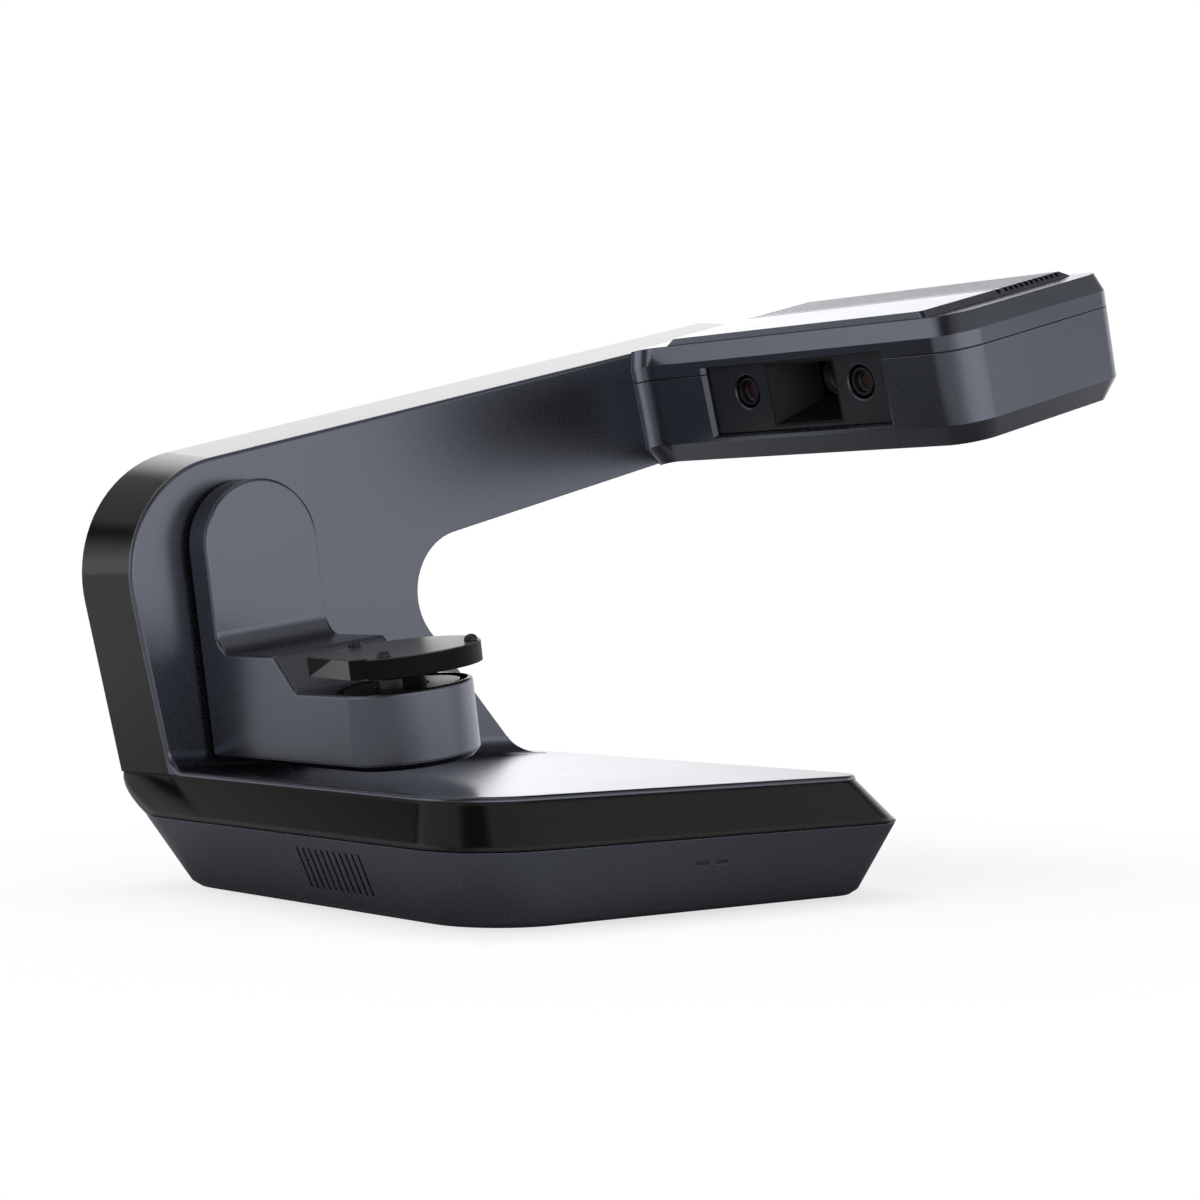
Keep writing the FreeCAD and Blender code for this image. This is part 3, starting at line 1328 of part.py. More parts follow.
def swing_shell_shape():
    low, rim, ledge = value("cup_low"), value("rim_low"), value("ledge_low")
    radius, arch, table = value("cup_radius"), value("arch_radius"), value("table_y")
    rear, front = value("plate_rear"), value("plate_front")
    tip = table - radius
    profile = [
        (tip - 5, low), (rear, low), (rear, arch + 5), (front, arch + 5), (front, ledge),
        (value("ledge_front"), ledge), (value("step_front"), rim), (tip - 5, rim),
    ]
    corners = [Vector(-60, y, b) for y, b in profile]
    solid = Part.Face(Part.makePolygon(corners + corners[:1])).extrude(Vector(120, 0, 0))
    crease = [
        e for e in solid.Edges
        if all(abs(v.Y - front) < 0.01 and abs(v.Z - ledge) < 0.01 for v in e.Vertexes)
    ]
    solid = solid.makeFillet(10.0, crease)
    bends = [(value("ledge_front"), ledge), (value("step_front"), rim)]
    step_edges = [
        e for e in solid.Edges for y, z in bends
        if all(abs(v.Y - y) < 0.01 and abs(v.Z - z) < 0.01 for v in e.Vertexes)
    ]
    solid = solid.makeFillet(value("step_bend"), step_edges)

    # seen from the front: a half circle on slightly spreading sides
    spread = radius - arch
    left_foot, right_foot = Vector(-arch - spread, -60, low), Vector(arch + spread, -60, low)
    left_top, right_top = Vector(-arch, -60, 0), Vector(arch, -60, 0)
    arc = Part.Arc(left_top, Vector(0, -60, arch), right_top).toShape()
    view = Part.Wire([
        Part.LineSegment(left_foot, left_top).toShape(), arc,
        Part.LineSegment(right_top, right_foot).toShape(),
        Part.LineSegment(right_foot, left_foot).toShape(),
    ])
    solid = solid.common(Part.Face(view).extrude(Vector(0, 200, 0)))

    # seen from above: a round front
    def plan(grow):
        r = radius + grow
        start, end = Vector(-r, table, low - 5), Vector(r, table, low - 5)
        nose = Part.Arc(start, Vector(0, table - r, low - 5), end).toShape()
        back_right, back_left = Vector(r, 120, low - 5), Vector(-r, 120, low - 5)
        return Part.Wire([
            nose, Part.LineSegment(end, back_right).toShape(),
            Part.LineSegment(back_right, back_left).toShape(),
            Part.LineSegment(back_left, start).toShape(),
        ])

    solid = solid.common(Part.Face(plan(0)).extrude(Vector(0, 0, 200))).removeSplitter()
    return solid, plan


def swing_pieces():
    low, rim, ledge = value("cup_low"), value("rim_low"), value("ledge_low")
    radius, table = value("cup_radius"), value("table_y")
    rear, front = value("plate_rear"), value("plate_front")
    solid, plan = swing_shell_shape()
    upper_edges = [
        e for e in solid.Edges
        if min(v.Z for v in e.Vertexes) > rim - 0.05 and max(v.Y for v in e.Vertexes) < rear - 1
        and (abs(e.CenterOfMass.x) > 20 or e.Length > 90)
    ]
    solid = solid.makeFillet(value("swing_round"), upper_edges)
    tray = value("tray_low")
    tools = []
    # tray round the turntable
    tools.append(Part.makeCylinder(radius - value("tray_wall"), 20, Vector(0, table, tray)))
    # room for the drive under the tray and ledge, open below
    room_top = tray - value("tray_thick")
    tools.append(Part.makeCylinder(radius - 3.0, room_top - low + 1, Vector(0, table, low - 1)))
    tools.append(slab(-27, 27, table, 48, low - 1, room_top))
    tools.append(slab(-27, 27, 28, rear - 4, low - 1, ledge - 22))
    tools.append(Part.makeCylinder(value("table_bearing"), 10, Vector(0, table, room_top - 4)))
    axle_start = Vector(0, front + SKIN, 0)
    tools.append(Part.makeCylinder(value("axle_radius"), 40, axle_start, Vector(0, 1, 0)))
    shell = solid.cut(tools)
    boss = Part.makeCylinder(16.0, 3.0, Vector(0, rear, 0), Vector(0, 1, 0))
    boss = boss.cut(Part.makeCylinder(value("axle_radius"), 10, Vector(0, rear - 2, 0), Vector(0, 1, 0)))
    feature("swing_arm_shell", shell.fuse(boss).removeSplitter(), SWING)

    inset = value("cover_inset")
    thick = value("cover_thick")
    face = Part.Face(plan(-inset)).extrude(Vector(0, 0, 200))
    cover = slab(-60, 60, -80, rear - inset, low - thick, low)
    cover = cover.common(face)
    bottom = [
        e for e in cover.Edges
        if all(abs(v.Z - (low - thick)) < 0.01 for v in e.Vertexes)
    ]
    cover = cover.makeChamfer(2.5, bottom)
    feature("swing_bottom_cover", cover, SWING)
    face_z = size("cup_low") - size("cover_thick")
    screws = [
        rod(f"cover_screw_{i}", "Z", spot, 2.4, face_z - 0.6, face_z)
        for i, spot in enumerate([(-20, 84), (20, 84), (-16, -30), (16, -30)])
    ]
    group("cover_screws", screws, SWING)

    # turntable shaft in two bearings
    spans = [
        (size("tray_low") - size("tray_thick"), size("tray_low")),
        (size("cup_low"), size("cup_low") + size("bearing_long")),
    ]
    bore = size("table_shaft") + RUN
    rings = [
        ring(f"table_bearing_{i}", "Z", (0, size("table_y")), size("table_bearing"), bore, *span)
        for i, span in enumerate(spans)
    ]
    group("turntable_bearings", rings, SWING)

    floor = size("tray_low")
    span = (floor, floor + size("tray_disc_thick"))
    disc = ring("tray_ring", "Z", (0, size("table_y")), size("tray_disc"), size("tray_disc_bore"), *span)
    group("tray_disc", [disc], SWING)


PIN_ANGLES = [90.0, 224.0, 312.0]


def turntable():
    top, thick = value("platter_top"), value("platter_thick")
    radius, table = value("platter_radius"), value("table_y")
    low = top - thick
    # a disc whose left side is cut to a pointed lug with a notch before it
    lug = [(-27.6, 30.3), (-31.0, 6.0), (-32.6, -9.1), (-26.6, -15.3)]
    start = (-math.sqrt(radius ** 2 - 19.6 ** 2), -19.6)
    end = (-14.0, math.sqrt(radius ** 2 - 14.0 ** 2))
    corners = [Vector(x, table + y, low) for x, y in [end] + lug + [start]]
    lines = [Part.LineSegment(a, b).toShape() for a, b in zip(corners, corners[1:])]
    far_side = Vector(radius * math.cos(math.radians(-45)), table + radius * math.sin(math.radians(-45)), low)
    rim = Part.Arc(corners[-1], far_side, corners[0]).toShape()
    plate = Part.Face(Part.Wire(lines + [rim])).extrude(Vector(0, 0, thick))
    edges = [e for e in plate.Edges if all(abs(v.Z - top) < 0.01 for v in e.Vertexes)]
    plate = plate.makeChamfer(0.5, edges)
    step = Part.makeCylinder(19.5, 2.5, Vector(0, table, low - 2.5))
    hub = Part.makeCylinder(11.0, 6.0, Vector(0, table, low - 8.5))
    bore = Part.makeCylinder(value("table_shaft"), thick + 4.5, Vector(0, table, low - 9))
    plate = plate.fuse([step, hub]).cut(bore).removeSplitter()
    feature("platter", plate, SWING)

    pins = []
    reach, thin, dome_high = value("pin_circle"), value("pin_radius"), value("pin_dome")
    ball = (thin ** 2 + dome_high ** 2) / (2 * dome_high)
    for degrees in PIN_ANGLES:
        angle = math.radians(degrees)
        spot = Vector(reach * math.cos(angle), table + reach * math.sin(angle), top)
        shoulder = spot + Vector(0, 0, value("pin_height"))
        stem = Part.makeCylinder(thin, value("pin_height"), spot)
        dome = Part.makeSphere(ball, shoulder - Vector(0, 0, ball - dome_high))
        above = Part.makeBox(20, 20, 10, shoulder - Vector(10, 10, 0))
        pins.append(stem.fuse(dome.common(above)).removeSplitter())
    feature("platter_pins", Part.makeCompound(pins), SWING)

    shaft = Body("platter_shaft", SWING)
    shaft.pad("XY", [circle(0, size("table_y"), size("table_shaft"))], size("cup_low") + 0.6, top - 4.5)
    belt_low = size("table_belt_low")
    belt_high = belt_low + size("belt_width")
    pulley("platter_pulley", SWING, "XY", 0, size("table_y"), size("table_pulley"), belt_low, belt_high,
           size("table_shaft"))

    motor_y = size("table_motor_y")
    motor = Body("turntable_motor", SWING)
    motor_low, motor_high = size("cup_low") + 0.2, belt_low - 3.0
    motor.pad("XY", [circle(0, motor_y, 14.0)], motor_low, motor_high)
    stub = size("table_stub")
    motor.pocket("XY", [circle(0, motor_y, stub + RUN)], motor_low + 2, motor_high + 1)
    radius = size("table_pinion")
    body = pulley("turntable_pinion", SWING, "XY", 0, motor_y, radius, belt_low, belt_high, None)
    body.pad("XY", [circle(0, motor_y, stub)], motor_low + 3, belt_low - size("flange"))

    distance = float(motor_y - size("table_y"))
    belt = belt_shape(value("table_pulley"), value("table_pinion"), distance)
    belt.rotate(Vector(0, 0, 0), Vector(0, 0, 1), 90)
    belt.translate(Vector(0, table, float(belt_low + belt_high) / 2))
    feature("turntable_belt", belt, SWING)


# ---------------------------------------------------------------- build


def build():
    base_tub()
    base_band()
    deck_shell()
    port_panel()
    status_lights()
    column_front_shell()
    column_rear_shell()
    column_band()
    bottom_plate()
    rubber_feet()
    bottom_screws()
    boards()
    fan()
    tilt_drive()
    spine()
    rear_fittings()
    switch_rocker()
    head_shells()
    head_top_cover()
    optics()
    head_fixings()
    swing_pieces()
    turntable()


def check():
    doc.recompute()
    for thing in doc.Objects:
        if "Invalid" in thing.State or "Error" in thing.State:
            raise RuntimeError(f"{thing.Name} failed: {thing.State}")
    for thing in NODES:
        if thing.Shape.isNull() or not thing.Shape.isValid() or not thing.Shape.Solids:
            raise RuntimeError(f"{thing.Label} has no valid solid")


def export():
    os.makedirs("parts", exist_ok=True)
    box = FreeCAD.BoundBox()
    for thing in NODES:
        thing.Shape.exportStep(f"parts/{thing.Label}.step")
        box.add(thing.Shape.BoundBox)
    print(len(NODES), "nodes,", box)


build()
check()
export()
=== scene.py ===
import json
import math

import bpy
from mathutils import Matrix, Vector


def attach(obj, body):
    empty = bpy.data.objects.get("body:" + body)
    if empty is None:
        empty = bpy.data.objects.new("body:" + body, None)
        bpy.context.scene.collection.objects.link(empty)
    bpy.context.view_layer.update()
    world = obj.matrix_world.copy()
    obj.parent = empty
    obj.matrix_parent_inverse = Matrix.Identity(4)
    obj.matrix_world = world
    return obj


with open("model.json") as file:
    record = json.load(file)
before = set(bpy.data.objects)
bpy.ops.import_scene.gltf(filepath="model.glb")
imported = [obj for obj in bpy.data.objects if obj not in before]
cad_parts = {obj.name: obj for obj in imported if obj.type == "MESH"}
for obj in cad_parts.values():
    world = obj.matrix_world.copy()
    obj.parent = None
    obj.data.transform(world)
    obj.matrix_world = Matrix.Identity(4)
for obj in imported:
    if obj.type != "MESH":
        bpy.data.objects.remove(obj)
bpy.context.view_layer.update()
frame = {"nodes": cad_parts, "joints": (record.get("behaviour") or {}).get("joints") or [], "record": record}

NODES = frame["nodes"]
MM = 0.001

WHITE = (1.0, 1.0, 1.0, 1.0)

# ---------------------------------------------------------------- turntable's place

JOINTS = {joint["name"]: joint for joint in frame["joints"]}
TABLE_SPOT = Vector(JOINTS["turntable_spin"]["pos_m"])
TABLE_AXIS = Vector(JOINTS["turntable_spin"]["axis"]).normalized()

# ---------------------------------------------------------------- camera

CAMERA_SPOT = Vector((-0.81276, -0.9586, 0.1359))
CAMERA_TARGET = Vector((-0.01536, 0.0019, 0.1334))
PHOTO_PIXELS = 1200
FOCAL_PIXELS = 2632.6
SENSOR_WIDTH = 36.0
CLIP_RANGE = (0.05, 50.0)


def make_camera():
    data = bpy.data.cameras.new("camera")
    data.sensor_width = SENSOR_WIDTH
    data.lens = FOCAL_PIXELS / PHOTO_PIXELS * SENSOR_WIDTH
    data.clip_start, data.clip_end = CLIP_RANGE
    camera = bpy.data.objects.new("camera", data)
    camera.location = CAMERA_SPOT
    camera.rotation_mode = "QUATERNION"
    camera.rotation_quaternion = (CAMERA_TARGET - CAMERA_SPOT).to_track_quat("-Z", "Y")
    bpy.context.scene.collection.objects.link(camera)
    bpy.context.scene.camera = camera


# ---------------------------------------------------------------- node helpers


class Shader:
    """A material's node tree with short calls for the nodes used here."""

    def __init__(self, name):
        self.material = bpy.data.materials.new(name)
        self.material.use_nodes = True
        self.tree = self.material.node_tree
        self.tree.nodes.clear()
        self.output = self.add("ShaderNodeOutputMaterial")
        self.coordinates = self.add("ShaderNodeTexCoord").outputs["Object"]

    def add(self, kind, **settings):
        node = self.tree.nodes.new(kind)
        for name, value in settings.items():
            setattr(node, name, value)
        return node

    def link(self, source, target):
        self.tree.links.new(source, target)

    def feed(self, target, value):
        """Links a socket or sets a plain value."""
        if isinstance(value, bpy.types.NodeSocket):
            self.link(value, target)
        else:
            target.default_value = value

    def noise(self, scale, detail=2.0, roughness=0.5, where=None):
        node = self.add("ShaderNodeTexNoise")
        self.feed(node.inputs["Vector"], where or self.coordinates)
        node.inputs["Scale"].default_value = scale
        node.inputs["Detail"].default_value = detail
        node.inputs["Roughness"].default_value = roughness
        return node.outputs["Fac"]

    def stretch(self, factors):
        """Object coordinates scaled differently along each axis."""
        node = self.add("ShaderNodeMapping")
        self.link(self.coordinates, node.inputs["Vector"])
        node.inputs["Scale"].default_value = factors
        return node.outputs["Vector"]

    def span(self, source, *limits):
        """Maps a value from one range to another: lowest and highest in, lowest and highest out."""
        node = self.add("ShaderNodeMapRange")
        self.link(source, node.inputs["Value"])
        for name, value in zip(("From Min", "From Max", "To Min", "To Max"), limits):
            node.inputs[name].default_value = value
        return node.outputs["Result"]

    def math(self, operation, a, b):
        node = self.add("ShaderNodeMath", operation=operation)
        self.feed(node.inputs[0], a)
        self.feed(node.inputs[1], b)
        return node.outputs["Value"]

    def blend(self, factor, a, b):
        node = self.add("ShaderNodeMix", data_type="RGBA")
        self.feed(node.inputs["Factor"], factor)
        self.feed(node.inputs["A"], a)
        self.feed(node.inputs["B"], b)
        return node.outputs["Result"]

    def clouded(self, cloud, base, dark, light):
        """A colour that drifts between a darker and a lighter tint."""
        share = self.span(cloud, 0.3, 0.7, 0.0, 1.0)
        return self.blend(share, tinted(base, dark), tinted(base, light))

    def bump(self, height, distance, strength, normal):
        node = self.add("ShaderNodeBump")
        node.inputs["Strength"].default_value = strength
        node.inputs["Distance"].default_value = distance
        self.link(height, node.inputs["Height"])
        self.link(normal, node.inputs["Normal"])
        return node.outputs["Normal"]

    def soft_edges(self, radius):
        node = self.add("ShaderNodeBevel", samples=6)
        node.inputs["Radius"].default_value = radius
        return node.outputs["Normal"]

    def dimmed_side(self, side):
        """Factor of 1 that falls to a level on one side of a spot.

        The side is given by its azimuth, its outer and inner angle in degrees, and the level.
        """
        azimuth, outer, inner, level = side
        away = self.add("ShaderNodeVectorMath", operation="SUBTRACT")
        self.link(self.coordinates, away.inputs[0])
        away.inputs[1].default_value = DARK_SIDE_SPOT
        unit = self.add("ShaderNodeVectorMath", operation="NORMALIZE")
        self.link(away.outputs["Vector"], unit.inputs[0])
        dot = self.add("ShaderNodeVectorMath", operation="DOT_PRODUCT")
        self.link(unit.outputs["Vector"], dot.inputs[0])
        angle = math.radians(azimuth)
        dot.inputs[1].default_value = (math.cos(angle), math.sin(angle), 0.0)
        low, high = math.cos(math.radians(outer)), math.cos(math.radians(inner))
        return self.span(dot.outputs["Value"], low, high, 1.0, level)

    def surface(self, **inputs):
        node = self.add("ShaderNodeBsdfPrincipled")
        for name, value in inputs.items():
            self.feed(node.inputs[name.replace("_", " ")], value)
        self.link(node.outputs["BSDF"], self.output.inputs["Surface"])
        return self.material


def colour(red, green, blue):
    """A colour written in the usual 0-255 values, as linear light."""
    def linear(value):
        value /= 255
        return value / 12.92 if value <= 0.04045 else ((value + 0.055) / 1.055) ** 2.4

    return (linear(red), linear(green), linear(blue), 1.0)


def tinted(base, factor):
    return (base[0] * factor, base[1] * factor, base[2] * factor, 1.0)


# ---------------------------------------------------------------- materials


def moulded(name, base, roughness, metallic=0.0, gloss=0.5):
    """Painted or moulded plastic with a fine spark-eroded grain; a metallic paint where told."""
    shader = Shader(name)
    cloud = shader.noise(9.0, 3.0)
    speck = shader.noise(900.0, 2.0)
    grains = shader.noise(2600.0, 2.0, 0.6)
    tone = shader.clouded(cloud, base, 0.965, 1.035)
    tone = shader.blend(shader.span(speck, 0.35, 0.65, 0.0, 0.1), tone, tinted(base, 1.18))
    broad = shader.span(cloud, 0.3, 0.7, roughness - 0.02, roughness + 0.02)
    fine = shader.span(speck, 0.3, 0.7, -0.01, 0.01)
    rough = shader.math("ADD", broad, fine)
    normal = shader.bump(grains, 0.004 * MM, 0.6, shader.soft_edges(0.6 * MM))
    return shader.surface(
        Base_Color=tone, Roughness=rough, Normal=normal, Metallic=metallic, Specular_IOR_Level=gloss
    )


def polished(name, base, roughness, edge=0.25 * MM):
    """Polished dark plastic with the faintest waviness and a little dust."""
    shader = Shader(name)
    cloud = shader.noise(6.0, 2.0)
    wave = shader.noise(60.0, 1.0)
    dust = shader.noise(420.0, 3.0, 0.7)
    tone = shader.clouded(cloud, base, 0.92, 1.08)
    rough = shader.span(dust, 0.45, 0.8, roughness, roughness + 0.06)
    normal = shader.bump(wave, 0.01 * MM, 0.5, shader.soft_edges(edge))
    return shader.surface(Base_Color=tone, Roughness=rough, Normal=normal)


def rubber(name, base):
    """Dull rubber with a coarse grain."""
    shader = Shader(name)
    cloud = shader.noise(35.0, 3.0)
    grains = shader.noise(1500.0, 3.0, 0.7)
    tone = shader.clouded(cloud, base, 0.85, 1.25)
    rough = shader.span(cloud, 0.3, 0.7, 0.78, 0.92)
    normal = shader.bump(grains, 0.03 * MM, 0.8, shader.soft_edges(0.3 * MM))
    return shader.surface(Base_Color=tone, Roughness=rough, Normal=normal)


def metal(name, base, roughness, streaks):
    """Metal with fine machining lines drawn out along the given axis scales."""
    shader = Shader(name)
    lines = shader.noise(700.0, 3.0, 0.6, shader.stretch(streaks))
    cloud = shader.noise(25.0, 2.0)
    tone = shader.clouded(cloud, base, 0.93, 1.05)
    rough = shader.span(lines, 0.25, 0.75, roughness - 0.06, roughness + 0.08)
    normal = shader.bump(lines, 0.01 * MM, 0.5, shader.soft_edges(0.2 * MM))
    return shader.surface(Base_Color=tone, Roughness=rough, Normal=normal, Metallic=1.0)


def coated_glass(name, body, painted_sheen):
    """Dark coated lens: a deep colour with a brighter, tinted ring of painted reflection where it turns away
    from view.
    """
    shader = Shader(name)
    facing = shader.add("ShaderNodeLayerWeight")
    facing.inputs["Blend"].default_value = 0.35
    ring = shader.noise(300.0, 1.0)
    # painted reflection: a tint, lightly varied by noise, that the colour takes on where the lens turns away
    # from view
    edge = shader.blend(shader.span(ring, 0.3, 0.7, 0.0, 0.2), painted_sheen, tinted(painted_sheen, 1.3))
    tone = shader.blend(facing.outputs["Facing"], body, edge)
    return shader.surface(Base_Color=tone, Roughness=0.04, Coat_Weight=1.0, Coat_Roughness=0.02)


def circuit_board(name, base):
    """Solder mask over a staggered pattern of tracks."""
    shader = Shader(name)
    tracks = shader.add("ShaderNodeTexBrick", offset=0.37)
    shader.link(shader.stretch((180.0, 180.0, 180.0)), tracks.inputs["Vector"])
    tracks.inputs["Color1"].default_value = base
    tracks.inputs["Color2"].default_value = tinted(base, 0.8)
    tracks.inputs["Mortar"].default_value = tinted(base, 1.7)
    rough = shader.span(shader.noise(80.0), 0.3, 0.7, 0.3, 0.42)
    return shader.surface(Base_Color=tracks.outputs["Color"], Roughness=rough)


SLATE = colour(110, 113, 123)
CHARCOAL = colour(104, 107, 118)
JET = colour(14, 14, 14)
JET_ROUGHNESS = 0.08
SATIN_BLACK = moulded("satin_black", colour(30, 31, 35), 0.36)
MATERIALS = {
    "shell_grey": moulded("slate_shell", SLATE, 0.27, metallic=0.97),
    "shell_light": moulded("slate_lid", SLATE, 0.22, metallic=0.97),
    "tub_dark": moulded("charcoal_tub", CHARCOAL, 0.28, metallic=0.95),
    "gloss_black": polished("jet_band", JET, JET_ROUGHNESS),
    "face_black": SATIN_BLACK,
    "barrel_black": moulded("barrel_black", colour(22, 22, 24), 0.35),
    "lens_coating_red": coated_glass("lens_red", colour(20, 6, 14), colour(84, 30, 56)),
    "lens_coating_amber": coated_glass("lens_amber", colour(22, 11, 8), colour(86, 52, 34)),
    "lens_clear": coated_glass("lens_smoked", colour(4, 4, 5), colour(16, 17, 20)),
    "rubber_black": rubber("black_rubber", colour(30, 30, 30)),
    "board_green": circuit_board("green_board", colour(12, 74, 40)),
    "steel_plate": metal("zinc_sheet", colour(150, 152, 155), 0.38, (1.0, 0.03, 1.0)),
    "steel_bright": metal("bright_steel", colour(176, 177, 180), 0.25, (1.0, 1.0, 0.05)),
    "aluminium_part": metal("turned_aluminium", colour(200, 201, 205), 0.3, (0.05, 1.0, 1.0)),
    "motor_body": moulded("motor_black", colour(34, 34, 36), 0.4),
}
PLATTER_GREY = moulded("platter_grey", colour(88, 89, 88), 0.3, metallic=0.75)
HOOD_BLACK = moulded("hood_black", colour(14, 14, 16), 0.45, gloss=0.3)
MATT_BLACK = moulded("matt_black", colour(12, 12, 13), 0.5, gloss=0.12)
SOFT_BAND = polished("jet_soft_band", JET, JET_ROUGHNESS, edge=3.0 * MM)

# The platter's rim lies outside this radius, and its flat notch beyond this distance sideways.
PLATTER_RIM = 35.5 * MM
PLATTER_NOTCH = -9.2 * MM
# The tray under the platter: its radius, and its floor and top along the turntable's axis.
TRAY_RADIUS = 29.3 * MM
TRAY_SPAN = (-7.0 * MM, -2.85 * MM)


def dress_frame():
    """Gives each CAD node the material of its slot."""
    for part in frame["record"]["subparts"]:
        data = NODES[part["node"]].data
        data.materials.clear()
        data.materials.append(MATERIALS[part["material_slot"]])
    NODES["projector_hood"].data.materials[0] = HOOD_BLACK
    NODES["base_band"].data.materials[0] = SOFT_BAND


def dress_platter():
    """Matt black on the platter's rim and in its notch, grey elsewhere."""
    platter = NODES["platter"].data
    platter.materials[0] = MATT_BLACK
    platter.materials.append(PLATTER_GREY)
    for face in platter.polygons:
        offset = face.center - TABLE_SPOT
        offset -= TABLE_AXIS * offset.dot(TABLE_AXIS)
        on_side = abs(face.normal.dot(TABLE_AXIS)) < 0.5
        on_rim = offset.length > PLATTER_RIM or offset.y < PLATTER_NOTCH
        face.material_index = 0 if on_side and on_rim else 1


def blacken_tray():
    """The swing arm's tray under the platter is black inside."""
    shell = NODES["swing_arm_shell"]
    shell.data.materials.append(SATIN_BLACK)
    low, high = TRAY_SPAN
    for face in shell.data.polygons:
        offset = shell.matrix_world @ face.center - TABLE_SPOT
        along = offset.dot(TABLE_AXIS)
        if (offset - TABLE_AXIS * along).length < TRAY_RADIUS and low < along < high:
            face.material_index = 1


# ---------------------------------------------------------------- added pieces

# The part's own origin is this far left of the frame's and in front of it, in millimetres.
ROW_SHIFT = Vector((79.56, 4.2, 0.0))
HEAD_RISE = math.radians(15.0)
HEAD_ORIGIN = (Vector((186.0, 0.0, 205.8)) - ROW_SHIFT) * MM
HEAD_ALONG = Vector((math.cos(HEAD_RISE), 0.0, math.sin(HEAD_RISE)))
HEAD_UP = Vector((-math.sin(HEAD_RISE), 0.0, math.cos(HEAD_RISE)))
SIDEWAYS = Vector((0.0, 1.0, 0.0))


def head_spot(u, y, w):
    """A point of the optical head, in millimetres along it, across it and up."""
    return HEAD_ORIGIN + (HEAD_ALONG * u + SIDEWAYS * y + HEAD_UP * w) * MM


def mesh_piece(name, points, faces, material):
    mesh = bpy.data.meshes.new(name)
    mesh.from_pydata(points, [], faces)
    mesh.materials.append(material)
    mesh.validate()
    piece = bpy.data.objects.new(name, mesh)
    bpy.context.scene.collection.objects.link(piece)
    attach(piece, "base")


def turned(name, profile, origin, slot_name, segments=72, knurl=0.0):
    """Ring turned about the head's length from a closed profile of (radius, height) in millimetres.

    With a knurl, every second step round the ring is that much smaller in radius.
    """
    side = HEAD_ALONG.orthogonal().normalized()
    other = HEAD_ALONG.cross(side)
    points, faces = [], []
    for i in range(segments):
        angle = 2 * math.pi * i / segments
        outward = side * math.cos(angle) + other * math.sin(angle)
        sink = knurl if i % 2 else 0.0
        for radius, height in profile:
            points.append(origin + (outward * (radius - sink) + HEAD_ALONG * height) * MM)
    count = len(profile)
    for i in range(segments):
        j = (i + 1) % segments
        for k in range(count):
            m = (k + 1) % count
            faces.append((i * count + k, j * count + k, j * count + m, i * count + m))
    mesh_piece(name, points, faces, MATERIALS[slot_name])


# Across the head and up it, in millimetres: the projector's axis, and the cameras beside it.
OPTIC_Y = -10.8
OPTIC_W = 33.5
EYE_REACH = 40.4
EYES = {"left": OPTIC_Y + EYE_REACH, "right": OPTIC_Y - EYE_REACH}
FINE_SEGMENTS = 96
EYE_RIM = [(9.3, 3.93), (8.5, 4.65), (8.5, 5.6), (8.65, 5.6), (9.35, 4.1)]
LENS_RING = [(5.65, 5.7), (5.9, 5.1), (6.9, 5.1), (7.15, 5.5), (7.15, 7.9), (5.65, 7.9)]
INNER_RING = [(3.9, 8.7), (5.5, 7.7), (5.55, 8.1), (5.55, 8.9), (3.9, 8.9)]
PROJECTOR_RING = [
    (6.6, 29.4), (7.3, 28.7), (8.8, 28.7), (9.1, 29.2),
    (9.1, 31.5), (7.7, 31.5), (7.7, 30.4), (6.6, 30.4),
]
PROJECTOR_BAFFLE = [(4.2, 30.3), (6.4, 29.3), (6.5, 29.6), (6.5, 30.4), (4.2, 30.4)]


def make_optics():
    """Bevelled rims of the camera openings, rings and baffles round the lenses."""
    black = "barrel_black"
    for side, y in EYES.items():
        centre = head_spot(0.0, y, OPTIC_W)
        turned(f"eye_rim_{side}", EYE_RIM, centre, "shell_grey", FINE_SEGMENTS)
        turned(f"lens_ring_{side}", LENS_RING, centre, black, FINE_SEGMENTS, knurl=0.12)
        turned(f"lens_baffle_{side}", INNER_RING, centre, black)
    centre = head_spot(0.0, OPTIC_Y, OPTIC_W)
    turned("projector_ring", PROJECTOR_RING, centre, black, FINE_SEGMENTS, knurl=0.15)
    turned("projector_baffle", PROJECTOR_BAFFLE, centre, black)


# ---------------------------------------------------------------- surroundings

WORLD_LEVEL = 0.55
FLOOR_HALF = 12.0
FLOOR_GREY = 0.86
# Each range: distance in metres at its start and end, then the value at its start and end.
WHITE_RANGE = (0.15, 0.42, 0.72, 1.0)
HEAD_SPOT = (0.25, -0.05, 0.0)
MIRROR_RANGE = (0.45, 0.8, 0.0, 1.0)
# painted shade: the floor's grey for mirrored rays, darker towards the spot below the head
MIRROR_PAINTED_SHADE_RANGE = (0.0, 0.4, 0.08, 0.26)
DARK_SIDE_SPOT = (0.1, -0.05, 0.0)
FLOOR_DARK_SIDE = (178.0, 66.0, 26.0, 0.2)


